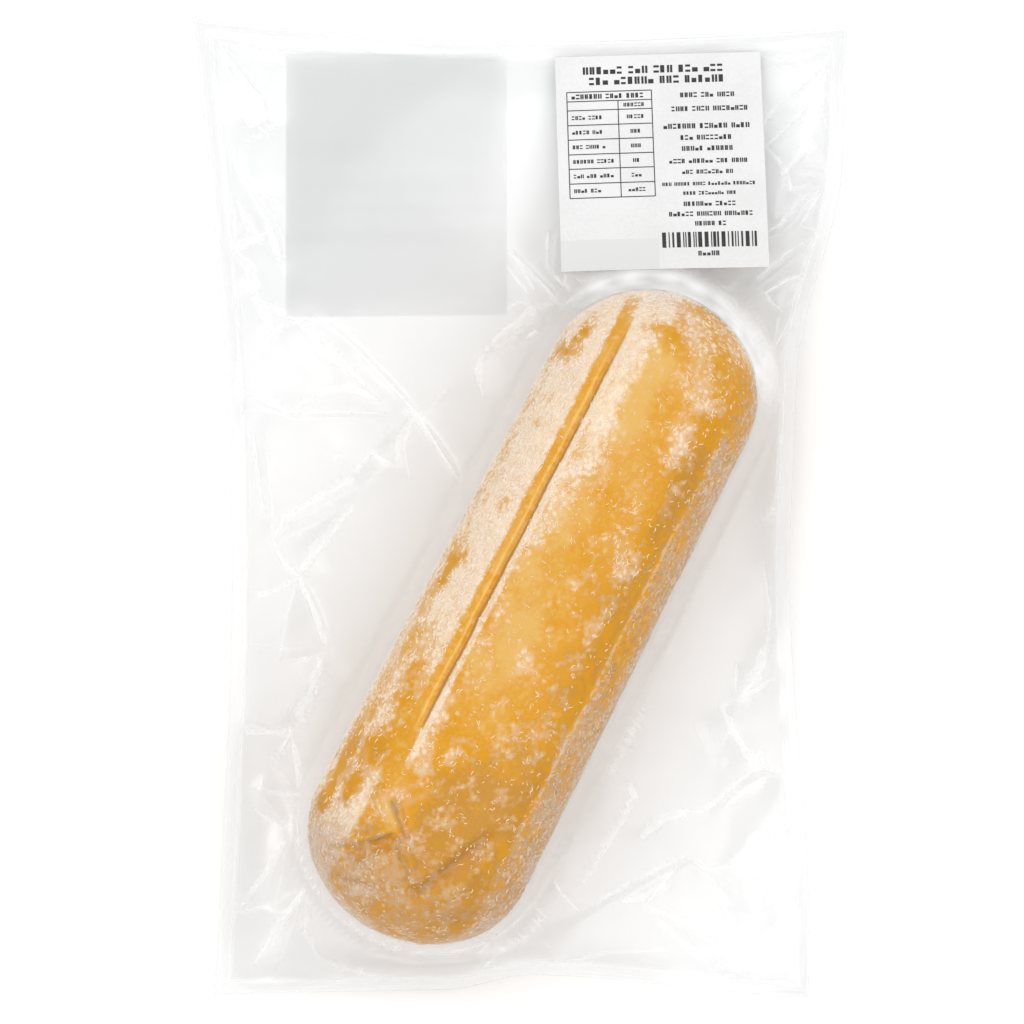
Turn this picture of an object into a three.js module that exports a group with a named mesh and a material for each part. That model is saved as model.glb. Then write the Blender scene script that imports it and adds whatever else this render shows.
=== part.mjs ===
// Smoked mozzarella log, frozen and sealed in a clear vacuum pouch, lying flat on a table.
//
// Millimetres, +Z up. The pouch's length runs along Y and its width along X. The origin is the middle of the
// pouch's footprint, on the table. The log lies slantwise in the pouch and rests on a narrow flat along its
// underside. The pouch is sealed, with the log hidden in its film all round, so both are one solid: over the
// log the film is a skin a tenth of a millimetre thick, and the log's surface stands for it. The two films
// meet just below the log's waist and slope down from there, as one thin skirt, to the welded edges.
//
// Both sides of the solid are laid out on the same rays. A ray starts on the log's spine, crosses the log's
// waistline and ends on the pouch's edge: square to the spine along the sides, and fanned round its two ends.

import * as THREE from 'three';
import { mergeVertices } from 'three/addons/utils/BufferGeometryUtils.js';

// ---------------------------------------------------------------- driving dimensions

const LOG = {
  centre: [3.9, -33.5], // middle of the log, seen from above
  turn: 27.3, // degrees from the pouch's length towards its upper right corner
  length: 211.5,
  halfWidth: 33.6, // at mid-length
  taper: 0.0168, // half-width lost for each millimetre towards the upper end
  cap: 30.5, // length of each rounded end
  waist: 31, // height of the widest line
  crown: 33, // rise from the waist to the top
  keel: 32.5, // drop from the waist to where the round underside would end, before it is pressed flat
  crownPower: 2.15, // roundness of the upper half; 2 is an ellipse
  keelPower: 2.3,
  lump: 0.5, // height of the slow lumps of a hand-shaped log
  swell: 0.35,
};

const POUCH = {
  corners: { // upper left, upper right, lower right, lower left
    ul: [-100, 149.5],
    ur: [100, 147],
    lr: [88.1, -149.5],
    ll: [-93.6, -148.8],
  },
  leftBow: 8.5, // how far each edge is drawn in by the log
  rightBow: 11.8,
  topBow: 5.7,
  bottomBow: 2.4,
  buckle: 5.2, // extra draw-in where the lower edge buckles upwards
  buckleLift: 6,
  buckleReach: 38, // how far the buckle runs in from the edge
  film: 0.8, // both films together
  seal: 7, // width of the welded band along the edges
  web: 22, // height of the line where the films meet
  tent: 4, // from the log's waist out to that line
  grip: 17, // from the waist down to where the lower film leaves the log
  edgeHeight: 2.3, // of the edges far from the log
  edgeShare: 0.5, // share of the slope's height that is left at an edge close to the log
  lowerEdgeShare: 0.2, // and at the lower edge, which nearly reaches the table
  reach: 80, // distance from the log at which the slope has run out
  sag: 1.3, // power of the slope's curve; 1 is straight
  droop: 1.5, // of the corners
  droopReach: 45,
  ripple: 0.9,
};

const LABELS = [
  { name: 'printed_label', centre: [42.8, 105.2], size: [62.8, 66.6], turn: 1.6, colour: 0xf6f6f6 },
  { name: 'blank_label', centre: [-37.9, 98.6], size: [67.6, 80.6], turn: 0, colour: 0xe9e9e6 },
];
const LABEL_THICKNESS = 0.5;
const LABEL_GAP = 0.3; // between a label and the film
const LABEL_CELLS = 14;

// Long score along the log's crown, left of the spine, and a fainter one on its right side.
// across is measured from the spine, to the right; from and to run along it, towards the upper end.
const SCORES = [
  { across: -15.3, from: -48, to: 95, depth: 2.4, shallowSide: 4.2, steepSide: 2.4, fade: 14 },
  { across: 23.4, from: -30, to: 44, depth: 1, shallowSide: 3, steepSide: 3, fade: 12 },
];

// Folds where the lower end was pinched shut: each runs from one point to another, [along, across].
// A positive rise is a ridge and a negative one a furrow.
const FOLDS = [
  { a: [-68, -17], b: [-73, -8], rise: 2, width: 4.4 },
  { a: [-73, -8], b: [-74, 2], rise: 1.4, width: 3.8 },
  { a: [-75, -12], b: [-88, -22], rise: 1.3, width: 4 },
  { a: [-78, -8], b: [-87, -15], rise: -2, width: 4 },
  { a: [-64, 17], b: [-81, 8], rise: -2.6, width: 5 },
  { a: [-81, 8], b: [-87, 7], rise: -1.6, width: 4 },
  { a: [-93, 14], b: [-85, 24], rise: -1.4, width: 4.4 },
];

// Rings on the log, as a share of the way from the spine to the waistline. They crowd at the long score and
// near the waist, where the surface turns fastest.
const CROWN_RINGS = [0, 0.14, 0.26, 0.35, 0.39, 0.425, 0.455, 0.485, 0.53, 0.58, 0.67, 0.77, 0.86, 0.94, 0.985, 1];
const KEEL_RINGS = [0, 0.37, 0.5, 0.64, 0.77, 0.87];
const SKIRT_RINGS = [0.14, 0.32, 0.52, 0.76]; // share of the way from where the films meet to the seal

const SIDE_STEPS = 27; // rays along each side of the log
const FAN_STEPS = 38; // rays round each end

// ---------------------------------------------------------------- small helpers

const { cos, sin, max, min, abs, hypot, PI } = Math;
const clamp01 = (x) => min(1, max(0, x));
const smoothstep = (from, to, x) => {
  const k = clamp01((x - from) / (to - from));
  return k * k * (3 - 2 * k);
};

const SPINE_HALF = LOG.length / 2 - LOG.cap;
const TURN = (LOG.turn * PI) / 180;
const ALONG = [sin(TURN), cos(TURN)]; // towards the log's upper end
const ACROSS = [cos(TURN), -sin(TURN)]; // towards its right side

// A point given along and across the log, in the pouch's X and Y.
function fromLog(along, across) {
  return [
    LOG.centre[0] + along * ALONG[0] + across * ACROSS[0],
    LOG.centre[1] + along * ALONG[1] + across * ACROSS[1],
  ];
}

function toLog([x, y]) {
  const dx = x - LOG.centre[0];
  const dy = y - LOG.centre[1];
  return [dx * ALONG[0] + dy * ALONG[1], dx * ACROSS[0] + dy * ACROSS[1]];
}

// ---------------------------------------------------------------- the pouch's edges

const { ul, ur, lr, ll } = POUCH.corners;
const lerp = (from, to, k) => from + (to - from) * k;

// Each edge is the straight line between two corners, drawn in by a bow.
function leftEdge(y) {
  const k = (ul[1] - y) / (ul[1] - ll[1]);
  return lerp(ul[0], ll[0], k) + POUCH.leftBow * sin(PI * clamp01(k));
}

function rightEdge(y) {
  const k = (ur[1] - y) / (ur[1] - lr[1]);
  const gathering = smoothstep(0.14, 0.36, k); // quick, beside the log's upper end
  const easing = 0.5 * (1 + cos(PI * clamp01(2 * k - 1))); // slow, down the lower half
  return lerp(ur[0], lr[0], k) - POUCH.rightBow * gathering * easing;
}

function topEdge(x) {
  const k = (x - ul[0]) / (ur[0] - ul[0]);
  return lerp(ul[1], ur[1], k) - POUCH.topBow * sin(PI * clamp01(k));
}

// Share of the lower edge's buckle at a place along it: steep on the left, long on the right.
function buckleAt(x) {
  const k = (x - ll[0]) / (lr[0] - ll[0]);
  return smoothstep(0.39, 0.53, k) * (1 - smoothstep(0.52, 0.97, k));
}

function bottomEdge(x) {
  const k = (x - ll[0]) / (lr[0] - ll[0]);
  return lerp(ll[1], lr[1], k) + POUCH.bottomBow * sin(PI * clamp01(k)) + POUCH.buckle * buckleAt(x);
}

const insidePouch = (x, y) => x > leftEdge(y) && x < rightEdge(y) && y < topEdge(x) && y > bottomEdge(x);

// ---------------------------------------------------------------- rays

// A ray leaves the spine at a place along it. Its angle is 0 to the right and 90 towards the upper end.
function makeRay(along, angle, corner) {
  const heading = [cos(angle), sin(angle)]; // across, along
  const halfWidth = LOG.halfWidth - LOG.taper * along;
  // An ellipse's radius at this angle; along the sides the angle is 0 or 180 degrees.
  const waist = 1 / hypot(heading[0] / halfWidth, heading[1] / LOG.cap);
  const at = (distance) => fromLog(along + distance * heading[1], distance * heading[0]);
  return { along, waist, at, edge: corner ? distanceTo(along, corner) : edgeDistance(at) };
}

function distanceTo(along, corner) {
  const [a, c] = toLog(corner);
  return hypot(a - along, c);
}

// How far from the spine a ray leaves the pouch, by halving.
function edgeDistance(at) {
  let inside = 0;
  let outside = ul[1] - ll[1]; // the pouch's length, more than any ray's
  for (let i = 0; i < 40; i++) {
    const middle = (inside + outside) / 2;
    if (insidePouch(...at(middle))) inside = middle;
    else outside = middle;
  }
  return inside;
}

// Evenly spaced values, with the nearest one moved onto each value that has to be met.
function spacedValues(from, to, steps, required) {
  const values = Array.from({ length: steps }, (_, i) => lerp(from, to, i / steps));
  const met = new Map();
  for (const { value, corner } of required) {
    let nearest = 1;
    values.forEach((v, i) => {
      if (i > 0 && abs(v - value) < abs(values[nearest] - value)) nearest = i;
    });
    values[nearest] = value;
    met.set(nearest, corner);
  }
  return values.map((value, i) => ({ value, corner: met.get(i) }));
}

function layOutRays() {
  const corners = Object.values(POUCH.corners).map((corner) => {
    const [along, across] = toLog(corner);
    return { corner, along, across };
  });
  const besideLog = corners.filter((c) => abs(c.along) < SPINE_HALF);
  const fanTo = (end) => corners
    .filter((c) => c.along * end > SPINE_HALF)
    .map((c) => {
      const angle = Math.atan2(c.along - end * SPINE_HALF, c.across);
      return { value: angle < 0 ? angle + 2 * PI : angle, corner: c.corner };
    });
  // Both sides use the same places along the spine, so that they share its points.
  const stations = spacedValues(-SPINE_HALF, SPINE_HALF, SIDE_STEPS,
    besideLog.map((c) => ({ value: c.along, corner: c })));
  const side = (rightHand) => stations.map(({ value, corner }) => {
    const meets = corner && corner.across > 0 === rightHand ? corner.corner : undefined;
    return makeRay(value, rightHand ? 0 : PI, meets);
  });
  const fan = (end, from) => spacedValues(from, from + PI, FAN_STEPS, fanTo(end))
    .map(({ value, corner }) => makeRay(end * SPINE_HALF, value, corner));
  const left = side(false);
  // Going up the right side starts at the lower end, and coming down the left starts at the upper one.
  return [...side(true), ...fan(1, 0), makeRay(SPINE_HALF, PI), ...left.slice(1).reverse(), ...fan(-1, PI)];
}

const RAYS = layOutRays();

// ---------------------------------------------------------------- the log's surface

// A score is a sloping cut: gentle on its left, steep on its right, and fading out at both ends.
function scoreDepth(along, across) {
  let depth = 0;
  for (const s of SCORES) {
    const off = across - s.across;
    const side = off < 0 ? s.shallowSide : s.steepSide;
    const profile = (1 - clamp01(abs(off) / side)) ** 1.3;
    const ends = smoothstep(s.from, s.from + s.fade, along) * (1 - smoothstep(s.to - s.fade, s.to, along));
    depth += s.depth * profile * ends;
  }
  return depth;
}

function foldRise(along, across) {
  let rise = 0;
  for (const f of FOLDS) {
    const run = [f.b[0] - f.a[0], f.b[1] - f.a[1]];
    const k = clamp01(((along - f.a[0]) * run[0] + (across - f.a[1]) * run[1]) / (run[0] ** 2 + run[1] ** 2));
    const off = hypot(along - f.a[0] - k * run[0], across - f.a[1] - k * run[1]);
    rise += f.rise * (1 - smoothstep(0, f.width, off));
  }
  return rise;
}

function lumps(along, across) {
  return LOG.lump * sin(along / 13 + 0.6) * cos(across / 11) + LOG.swell * sin(along / 29 - across / 9);
}

function logPoint(ray, share, above) {
  const [x, y] = ray.at(ray.waist * share);
  const [along, across] = toLog([x, y]);
  if (!above) {
    const drop = LOG.keel * (1 - share ** LOG.keelPower) ** (1 / LOG.keelPower);
    return [x, y, max(0, LOG.waist - drop)];
  }
  const rise = LOG.crown * (1 - share ** LOG.crownPower) ** (1 / LOG.crownPower);
  const relief = lumps(along, across) + foldRise(along, across) - scoreDepth(along, across);
  return [x, y, LOG.waist + rise + relief * smoothstep(1, 0.9, share)];
}

// ---------------------------------------------------------------- the pouch's surface

function skirtHeight(ray, distance) {
  const meets = ray.waist + POUCH.tent;
  const away = distance - meets;
  const share = clamp01(away / (ray.edge - meets));
  const [x, y] = ray.at(distance);
  const left = lerp(POUCH.lowerEdgeShare, POUCH.edgeShare, smoothstep(ll[1], ll[1] + 50, y));
  const slope = (1 - min(1, away / POUCH.reach)) ** POUCH.sag * (1 - (1 - left) * share ** 2);
  const nearest = min(...Object.values(POUCH.corners).map((c) => hypot(x - c[0], y - c[1])));
  const droop = POUCH.droop * (1 - smoothstep(0, POUCH.droopReach, nearest));
  const buckle = POUCH.buckleLift * buckleAt(x) * (1 - smoothstep(0, POUCH.buckleReach, y - bottomEdge(x)));
  const wave = sin(x / 15 + 0.8) * sin(y / 21 - 0.5) * smoothstep(4, 30, away) * (1 - 0.6 * share);
  return POUCH.edgeHeight + (POUCH.web - POUCH.edgeHeight) * slope - droop + buckle + POUCH.ripple * wave;
}

// A point on the pouch's upper side, or on its under side.
function skirtPoint(ray, distance, above) {
  const [x, y] = ray.at(distance);
  return [x, y, skirtHeight(ray, distance) + (above ? 1 : -1) * POUCH.film / 2];
}

// ---------------------------------------------------------------- solids from rings

// Rings of points, each with a point on every ray, joined in order. The first and last ring have closed to
// the spine: points that meet there are shared, and the triangles that vanish are dropped.
function solidFromRings(rings) {
  const count = RAYS.length;
  const triangles = [];
  for (let k = 0; k < rings.length - 1; k++) {
    const inner = k * count;
    const outer = inner + count;
    for (let i = 0; i < count; i++) {
      const j = (i + 1) % count;
      triangles.push(inner + i, outer + i, outer + j, inner + i, outer + j, inner + j);
    }
  }
  return weld(rings.flat(2), triangles);
}

function weld(positions, triangles) {
  const loose = new THREE.BufferGeometry();
  loose.setAttribute('position', new THREE.Float32BufferAttribute(positions, 3));
  loose.setIndex(triangles);
  const welded = mergeVertices(loose, 1e-3);
  const index = welded.index.array;
  const kept = [];
  for (let i = 0; i < index.length; i += 3) {
    const [a, b, c] = [index[i], index[i + 1], index[i + 2]];
    if (a !== b && b !== c && a !== c) kept.push(a, b, c);
  }
  welded.setIndex(kept);
  welded.computeVertexNormals();
  return welded;
}

function finish(colour, roughness) {
  return new THREE.MeshStandardMaterial({ color: colour, roughness, metalness: 0 });
}

function makeMesh(name, geometry, material) {
  const mesh = new THREE.Mesh(geometry, material);
  mesh.name = name;
  return mesh;
}

// ---------------------------------------------------------------- the pieces

function makeLogInPouch() {
  const meets = (ray) => ray.waist + POUCH.tent;
  const sealed = (ray) => lerp(ray.edge, meets(ray), min(0.5, POUCH.seal / (ray.edge - meets(ray))));
  const distances = [
    meets,
    ...SKIRT_RINGS.map((share) => (ray) => lerp(meets(ray), sealed(ray), share)),
    sealed,
    (ray) => ray.edge,
  ];
  const skirt = (above) => distances.map((d) => RAYS.map((ray) => skirtPoint(ray, d(ray), above)));
  const log = (shares, above) => shares.map((share) => RAYS.map((ray) => logPoint(ray, share, above)));
  // Share of the way to the waistline at which the lower film leaves the log's underside.
  const leaves = (1 - (POUCH.grip / LOG.keel) ** LOG.keelPower) ** (1 / LOG.keelPower);
  const crown = log(CROWN_RINGS, true);
  const keel = log([...KEEL_RINGS, leaves], false);
  const rings = [...crown, ...skirt(true), ...skirt(false).reverse(), ...keel.reverse()];
  return makeMesh('log_in_pouch', solidFromRings(rings), finish(0xdca23f, 0.4));
}

// Heights of the film under a label, at whole and half cells of the label's grid.
function filmUnder({ centre, size, turn }, film) {
  const caster = new THREE.Raycaster();
  const down = new THREE.Vector3(0, 0, -1);
  const angle = (turn * PI) / 180;
  return (i, j) => {
    const u = (i / LABEL_CELLS - 0.5) * size[0];
    const v = (j / LABEL_CELLS - 0.5) * size[1];
    const x = centre[0] + u * cos(angle) - v * sin(angle);
    const y = centre[1] + u * sin(angle) + v * cos(angle);
    caster.set(new THREE.Vector3(x, y, 2 * LOG.waist + LOG.crown), down);
    return [x, y, caster.intersectObject(film)[0].point.z];
  };
}

// How far the film bulges above the straight lines from one corner of a cell to its neighbours.
function bulge(under, i, j) {
  const onLabel = (k) => k >= 0 && k <= LABEL_CELLS;
  let most = 0;
  for (const di of [-1, 0, 1]) {
    for (const dj of [-1, 0, 1]) {
      if (!onLabel(i + di) || !onLabel(j + dj)) continue;
      const straight = (under(i, j)[2] + under(i + di, j + dj)[2]) / 2;
      most = max(most, under(i + di / 2, j + dj / 2)[2] - straight);
    }
  }
  return most;
}

// A thin sheet that follows the film under it, a grid of cells on both faces with a rim between them.
function makeLabel(label, film) {
  const under = filmUnder(label, film);
  const side = LABEL_CELLS + 1;
  const points = [];
  for (const lift of [LABEL_GAP, LABEL_GAP + LABEL_THICKNESS]) {
    for (let j = 0; j < side; j++) {
      for (let i = 0; i < side; i++) {
        const [x, y, z] = under(i, j);
        points.push(x, y, z + bulge(under, i, j) + lift);
      }
    }
  }
  const upper = side * side;
  const at = (i, j) => j * side + i;
  const triangles = [];
  const quad = (a, b, c, d) => triangles.push(a, b, c, a, c, d);
  for (let k = 0; k < LABEL_CELLS; k++) {
    const last = LABEL_CELLS;
    for (let i = 0; i < LABEL_CELLS; i++) {
      quad(upper + at(i, k), upper + at(i + 1, k), upper + at(i + 1, k + 1), upper + at(i, k + 1));
      quad(at(i, k), at(i, k + 1), at(i + 1, k + 1), at(i + 1, k));
    }
    quad(at(k, 0), at(k + 1, 0), upper + at(k + 1, 0), upper + at(k, 0));
    quad(at(k + 1, last), at(k, last), upper + at(k, last), upper + at(k + 1, last));
    quad(at(0, k + 1), at(0, k), upper + at(0, k), upper + at(0, k + 1));
    quad(at(last, k), at(last, k + 1), upper + at(last, k + 1), upper + at(last, k));
  }
  return makeMesh(label.name, weld(points, triangles), finish(label.colour, 0.6));
}

const logInPouch = makeLogInPouch();
logInPouch.updateMatrixWorld(true);

const part = new THREE.Group();
part.add(logInPouch, ...LABELS.map((label) => makeLabel(label, logInPouch)));

export default part;
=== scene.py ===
"""The looks of a smoked mozzarella log, frozen and sealed in a clear flat vacuum pouch.

The pouch is a closed bag of thin film, drawn tight over the log and creased round it. Under the film lie the
log, with its scores, folds and frost, and the frost's crystals. A printed paper label and a bare see-through
one lie on the film. Shapes are worked out in millimetres and written into the meshes in metres.
"""

import math
import random

import bmesh
import bpy
import numpy as np
from bpy.props import FloatProperty, FloatVectorProperty, IntProperty, PointerProperty
from mathutils import Euler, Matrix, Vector, noise
from mathutils.bvhtree import BVHTree
from mathutils.geometry import delaunay_2d_cdt


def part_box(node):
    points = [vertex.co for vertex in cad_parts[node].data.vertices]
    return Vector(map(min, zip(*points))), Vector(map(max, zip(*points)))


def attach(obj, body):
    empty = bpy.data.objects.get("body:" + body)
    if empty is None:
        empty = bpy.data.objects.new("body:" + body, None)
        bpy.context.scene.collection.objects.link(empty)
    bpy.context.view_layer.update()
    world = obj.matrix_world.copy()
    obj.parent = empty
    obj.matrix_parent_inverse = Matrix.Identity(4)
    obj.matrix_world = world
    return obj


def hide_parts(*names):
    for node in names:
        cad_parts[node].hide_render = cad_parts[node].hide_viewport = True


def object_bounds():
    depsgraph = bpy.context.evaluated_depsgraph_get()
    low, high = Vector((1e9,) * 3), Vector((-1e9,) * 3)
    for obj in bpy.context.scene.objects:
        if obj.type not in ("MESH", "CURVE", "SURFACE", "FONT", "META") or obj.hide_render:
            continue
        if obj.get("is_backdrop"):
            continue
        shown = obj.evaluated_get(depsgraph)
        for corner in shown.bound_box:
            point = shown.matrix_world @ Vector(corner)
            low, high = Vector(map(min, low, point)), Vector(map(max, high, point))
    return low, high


bl_info = {
    "name": "Smoked mozzarella log in a vacuum pouch",
    "version": (1, 0, 0),
    "blender": (4, 5, 0),
    "location": "3D View > Sidebar > Mozzarella",
    "description": "Builds a frozen smoked mozzarella log, its clear pouch, its labels and a plain studio",
    "category": "Add Mesh",
}

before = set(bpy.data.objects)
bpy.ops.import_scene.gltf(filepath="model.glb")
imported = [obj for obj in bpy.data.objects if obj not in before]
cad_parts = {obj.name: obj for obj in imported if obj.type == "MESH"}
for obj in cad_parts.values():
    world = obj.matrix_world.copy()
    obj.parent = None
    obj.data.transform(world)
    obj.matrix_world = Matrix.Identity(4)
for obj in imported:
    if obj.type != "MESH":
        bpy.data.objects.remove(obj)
CAD_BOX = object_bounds()
POUCH_LOW, POUCH_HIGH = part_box("log_in_pouch")
BODY = "root"

MM = 0.001

# The photograph is 1024 pixels wide and was taken from straight above.
PHOTO_MIDDLE = 512
PHOTO_WIDTH = 1024
PHOTO_SPAN = 313.6  # millimetres of table across the photograph
EYE = (-2.6, -1.2, 1200)  # the camera, in millimetres


# --- settings shown in the sidebar


def size(name, description, default):
    """A length that a user may change."""
    return FloatProperty(name=name, description=description, default=default, unit="LENGTH", precision=4)


def share(name, description, default):
    """A plain number from 0 to 1."""
    return FloatProperty(name=name, description=description, default=default, min=0, max=1, subtype="FACTOR")


def colour(name, description, default):
    """A colour, in linear light."""
    return FloatVectorProperty(
        name=name, description=description, default=default, size=3, min=0, max=1, subtype="COLOR"
    )


def amount(name, description, default):
    """A plain number from 0 up."""
    return FloatProperty(name=name, description=description, default=default, min=0)


def power(name, description, default):
    """The power of a light."""
    return FloatProperty(name=name, description=description, default=default, min=0, unit="POWER")


class LogSettings(bpy.types.PropertyGroup):
    """Sizes and colours of the cheese log and its frost."""

    centre: FloatVectorProperty(
        name="Centre", description="Middle of the log, seen from above", size=2,
        default=(0.0045, -0.0323), unit="LENGTH", precision=4,
    )
    turn: FloatProperty(
        name="Turn", description="From the pouch's length towards its upper right corner",
        default=math.radians(27.3), unit="ROTATION", subtype="ANGLE",
    )
    length: size("Length", "From end to end", 0.2108)
    half_width: size("Half width", "Half of the log's width at mid-length", 0.0336)
    taper: share("Taper", "Half-width lost for each unit of length towards the upper end", 0.0168)
    cap: size("Cap", "Length of each rounded end", 0.0305)
    waist: size("Waist", "Height of the widest line", 0.031)
    crown: size("Crown", "Rise from the waist to the top", 0.033)
    keel: size("Keel", "Drop from the waist to where the round underside would end", 0.0325)
    skin: size("Skin", "Depth of the cheese under the film, which leaves room for frost", 0.0006)
    voxel: size("Mesh step", "Distance between the points of the log's mesh", 0.00093)
    crystals: IntProperty(name="Crystals", description="How many frost crystals there are", default=14500)
    golden: colour("Golden", "Cheese along the crown", (0.735, 0.435, 0.115))
    amber: colour("Amber", "Smoked rind", (0.685, 0.305, 0.005))
    # Brown also paints shade round the frost's chips.
    brown: colour("Brown", "Deepest smoked patches and folds", (0.50, 0.235, 0.035))
    # Down the right side the tan is partly painted shade.
    tan: colour("Tan", "Cheese under thin dull frost, at the right and the lower end", (0.61, 0.475, 0.37))
    rime: colour("Rime", "Cheese under a thin even frost", (0.91, 0.76, 0.58))
    frost: colour("Frost", "Thick frost", (0.94, 0.84, 0.74))
    ice: colour("Ice", "Single frost crystals", (0.95, 0.81, 0.56))


class PouchSettings(bpy.types.PropertyGroup):
    """Sizes and colours of the clear pouch."""

    columns: IntProperty(name="Columns", description="Even number of steps across the mesh", default=132)
    rows: IntProperty(name="Rows", description="Even number of steps along the mesh", default=198)
    web: size("Web", "Height of the line round the log where the two films meet", 0.022)
    tent: size("Tent", "From the log's waist out to that line", 0.004)
    grip: size("Grip", "From the waist down to where the lower film leaves the log", 0.017)
    seal: size("Seal", "Width of the welded band along the edges", 0.005)
    gap: size("Gap", "Between the two films beyond the log", 0.0008)
    edge_height: size("Edge height", "Height of the edges far from the log", 0.0023)
    tint: colour("Tint", "Light that one film lets through", (0.969, 0.971, 0.972))
    haze: share("Haze", "Share of light that the welded bands scatter", 0.17)
    # Painted light: how much the painted glints on creases, the rim line and the veil round the log scatter.
    painted_light_share: share("Whitening", "Share of light that a sharp crease scatters", 0.45)
    gloss: share("Gloss", "Share of light that the film mirrors, seen straight on", 0.045)
    cling: share("Cling", "Share of its gloss that the film keeps where it clings to the log", 0.3)
    roughness: share("Roughness", "Of the film's gloss", 0.24)


class LabelSettings(bpy.types.PropertyGroup):
    """Colours of the two labels."""

    thickness: size("Thickness", "Of a label", 0.00016)
    paper: colour("Paper", "The printed label's paper", (0.755, 0.755, 0.755))
    ink: colour("Ink", "The print", (0.012, 0.012, 0.013))
    bare: colour("Bare label", "The see-through label's own white", (0.85, 0.85, 0.84))
    veil: share("Veil", "How much each face of the bare label hides", 0.008)
    dim: share("Dimming", "Light that each face of the bare label swallows", 0.003)


class StageSettings(bpy.types.PropertyGroup):
    """The plain studio round the pouch."""

    floor: colour("Floor", "Colour of the floor", (0.93, 0.93, 0.93))
    overhead: amount("Overhead", "Light from straight above", 0.5)
    ring: amount("Ring", "Light from high up all round", 1.40)
    low: amount("Low", "Light from near the floor all round", 0.52)
    key: power("Key", "The wide soft light from beyond the pouch's top", 2.4)
    fill: power("Fill", "The wide soft light from the right", 1.4)
    others: power("Others", "Each small light round the pouch", 1.0)


SETTINGS = {
    "mozzarella_log": LogSettings,
    "mozzarella_pouch": PouchSettings,
    "mozzarella_labels": LabelSettings,
    "mozzarella_stage": StageSettings,
}


# --- small helpers


def smoothstep(start, end, x):
    """0 at start and before it, 1 at end and after it, smooth between."""
    k = np.clip((x - start) / (end - start), 0, 1)
    return k * k * (3 - 2 * k)


def band(x, start, full, thins, end):
    """1 from full to thins, 0 before start and after end, smooth between."""
    return smoothstep(start, full, x) * (1 - smoothstep(thins, end, x))


def lerp(start, end, k):
    """Start at 0, end at 1, and even steps between."""
    return start + (end - start) * k


def photo_point(pixel, height):
    """The place, in millimetres, of what the photograph shows at a pixel and that lies at a height."""
    scale = PHOTO_SPAN / PHOTO_WIDTH * (1 - height / EYE[2])
    return EYE[0] + (pixel[0] - PHOTO_MIDDLE) * scale, EYE[1] - (pixel[1] - PHOTO_MIDDLE) * scale


def line_distance(x, y, start, end):
    """Distance of points from a straight line between two others, and how far along it they are."""
    run = np.subtract(end, start)
    along = np.clip(((x - start[0]) * run[0] + (y - start[1]) * run[1]) / (run @ run), 0, 1)
    return np.hypot(x - start[0] - along * run[0], y - start[1] - along * run[1]), along


def path_distance(x, y, path):
    """Distance of points from a path of straight lines."""
    return np.minimum.reduce([line_distance(x, y, start, end)[0] for start, end in zip(path, path[1:])])


def deselect_all():
    if bpy.context.object and bpy.context.object.mode != "OBJECT":
        bpy.ops.object.mode_set(mode="OBJECT")
    bpy.ops.object.select_all(action="DESELECT")


def choose(obj):
    """Makes an object the only one selected, and active."""
    deselect_all()
    obj.select_set(True)
    bpy.context.view_layer.objects.active = obj


def subdivide_faces(obj, wanted, cuts):
    """Cuts faces of a mesh finer. `wanted` says which, given a face."""
    bpy.ops.object.mode_set(mode="EDIT")
    bpy.ops.mesh.select_all(action="DESELECT")
    bm = bmesh.from_edit_mesh(obj.data)
    bm.faces.index_update()
    for face in bm.faces:
        face.select_set(bool(wanted(face)))
    bmesh.update_edit_mesh(obj.data)
    bpy.ops.mesh.subdivide(number_cuts=cuts)
    bpy.ops.object.mode_set(mode="OBJECT")


def points_of(mesh):
    """The mesh's points in millimetres, one row each."""
    flat = np.empty(len(mesh.vertices) * 3, np.float32)
    mesh.vertices.foreach_get("co", flat)
    return flat.reshape(-1, 3).astype(float) / MM


def normals_of(mesh):
    flat = np.empty(len(mesh.vertices) * 3, np.float32)
    mesh.vertex_normals.foreach_get("vector", flat)
    return flat.reshape(-1, 3).astype(float)


def set_points(mesh, points):
    mesh.vertices.foreach_set("co", (np.asarray(points) * MM).astype(np.float32).ravel())
    mesh.update()


def set_attribute(mesh, name, values):
    """Stores one number for each point, which the material reads."""
    attribute = mesh.attributes.get(name) or mesh.attributes.new(name, "FLOAT", "POINT")
    attribute.data.foreach_set("value", np.asarray(values, np.float32))


def noise_at(points, step, seed=0.0):
    """Smooth noise from -1 to 1 at points in millimetres, with lumps about one step wide."""
    shift = Vector((seed, 7.3 * seed, 3.1 * seed))
    return np.array([noise.noise(Vector(p) / step + shift) for p in points])


def smooth_shading(obj):
    obj.data.polygons.foreach_set("use_smooth", np.ones(len(obj.data.polygons), bool))
    obj.data.update()


def finish_piece(obj, name, material, nodes=()):
    """Names a piece, gives it its material and ties it to the frame."""
    choose(obj)
    bpy.ops.object.transform_apply(location=True, rotation=True, scale=True)
    obj.name = name
    obj.data.name = name
    obj.data.materials.clear()
    obj.data.materials.append(material)
    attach(obj, BODY)
    if nodes:
        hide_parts(*nodes)
    return obj


# --- the log's form

# Long score along the log's crown, left of the spine, and a fainter one on its right side. Millimetres from
# the spine, to the right, and along it, towards the upper end.
SCORES = (
    {"across": -15.3, "start": -48, "end": 95, "depth": 2.0, "left": 3.4, "right": 2.0, "fade": 18},
    {"across": 23.4, "start": -62, "end": 52, "depth": 0.8, "left": 2.0, "right": 2.6, "fade": 12},
)

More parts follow.
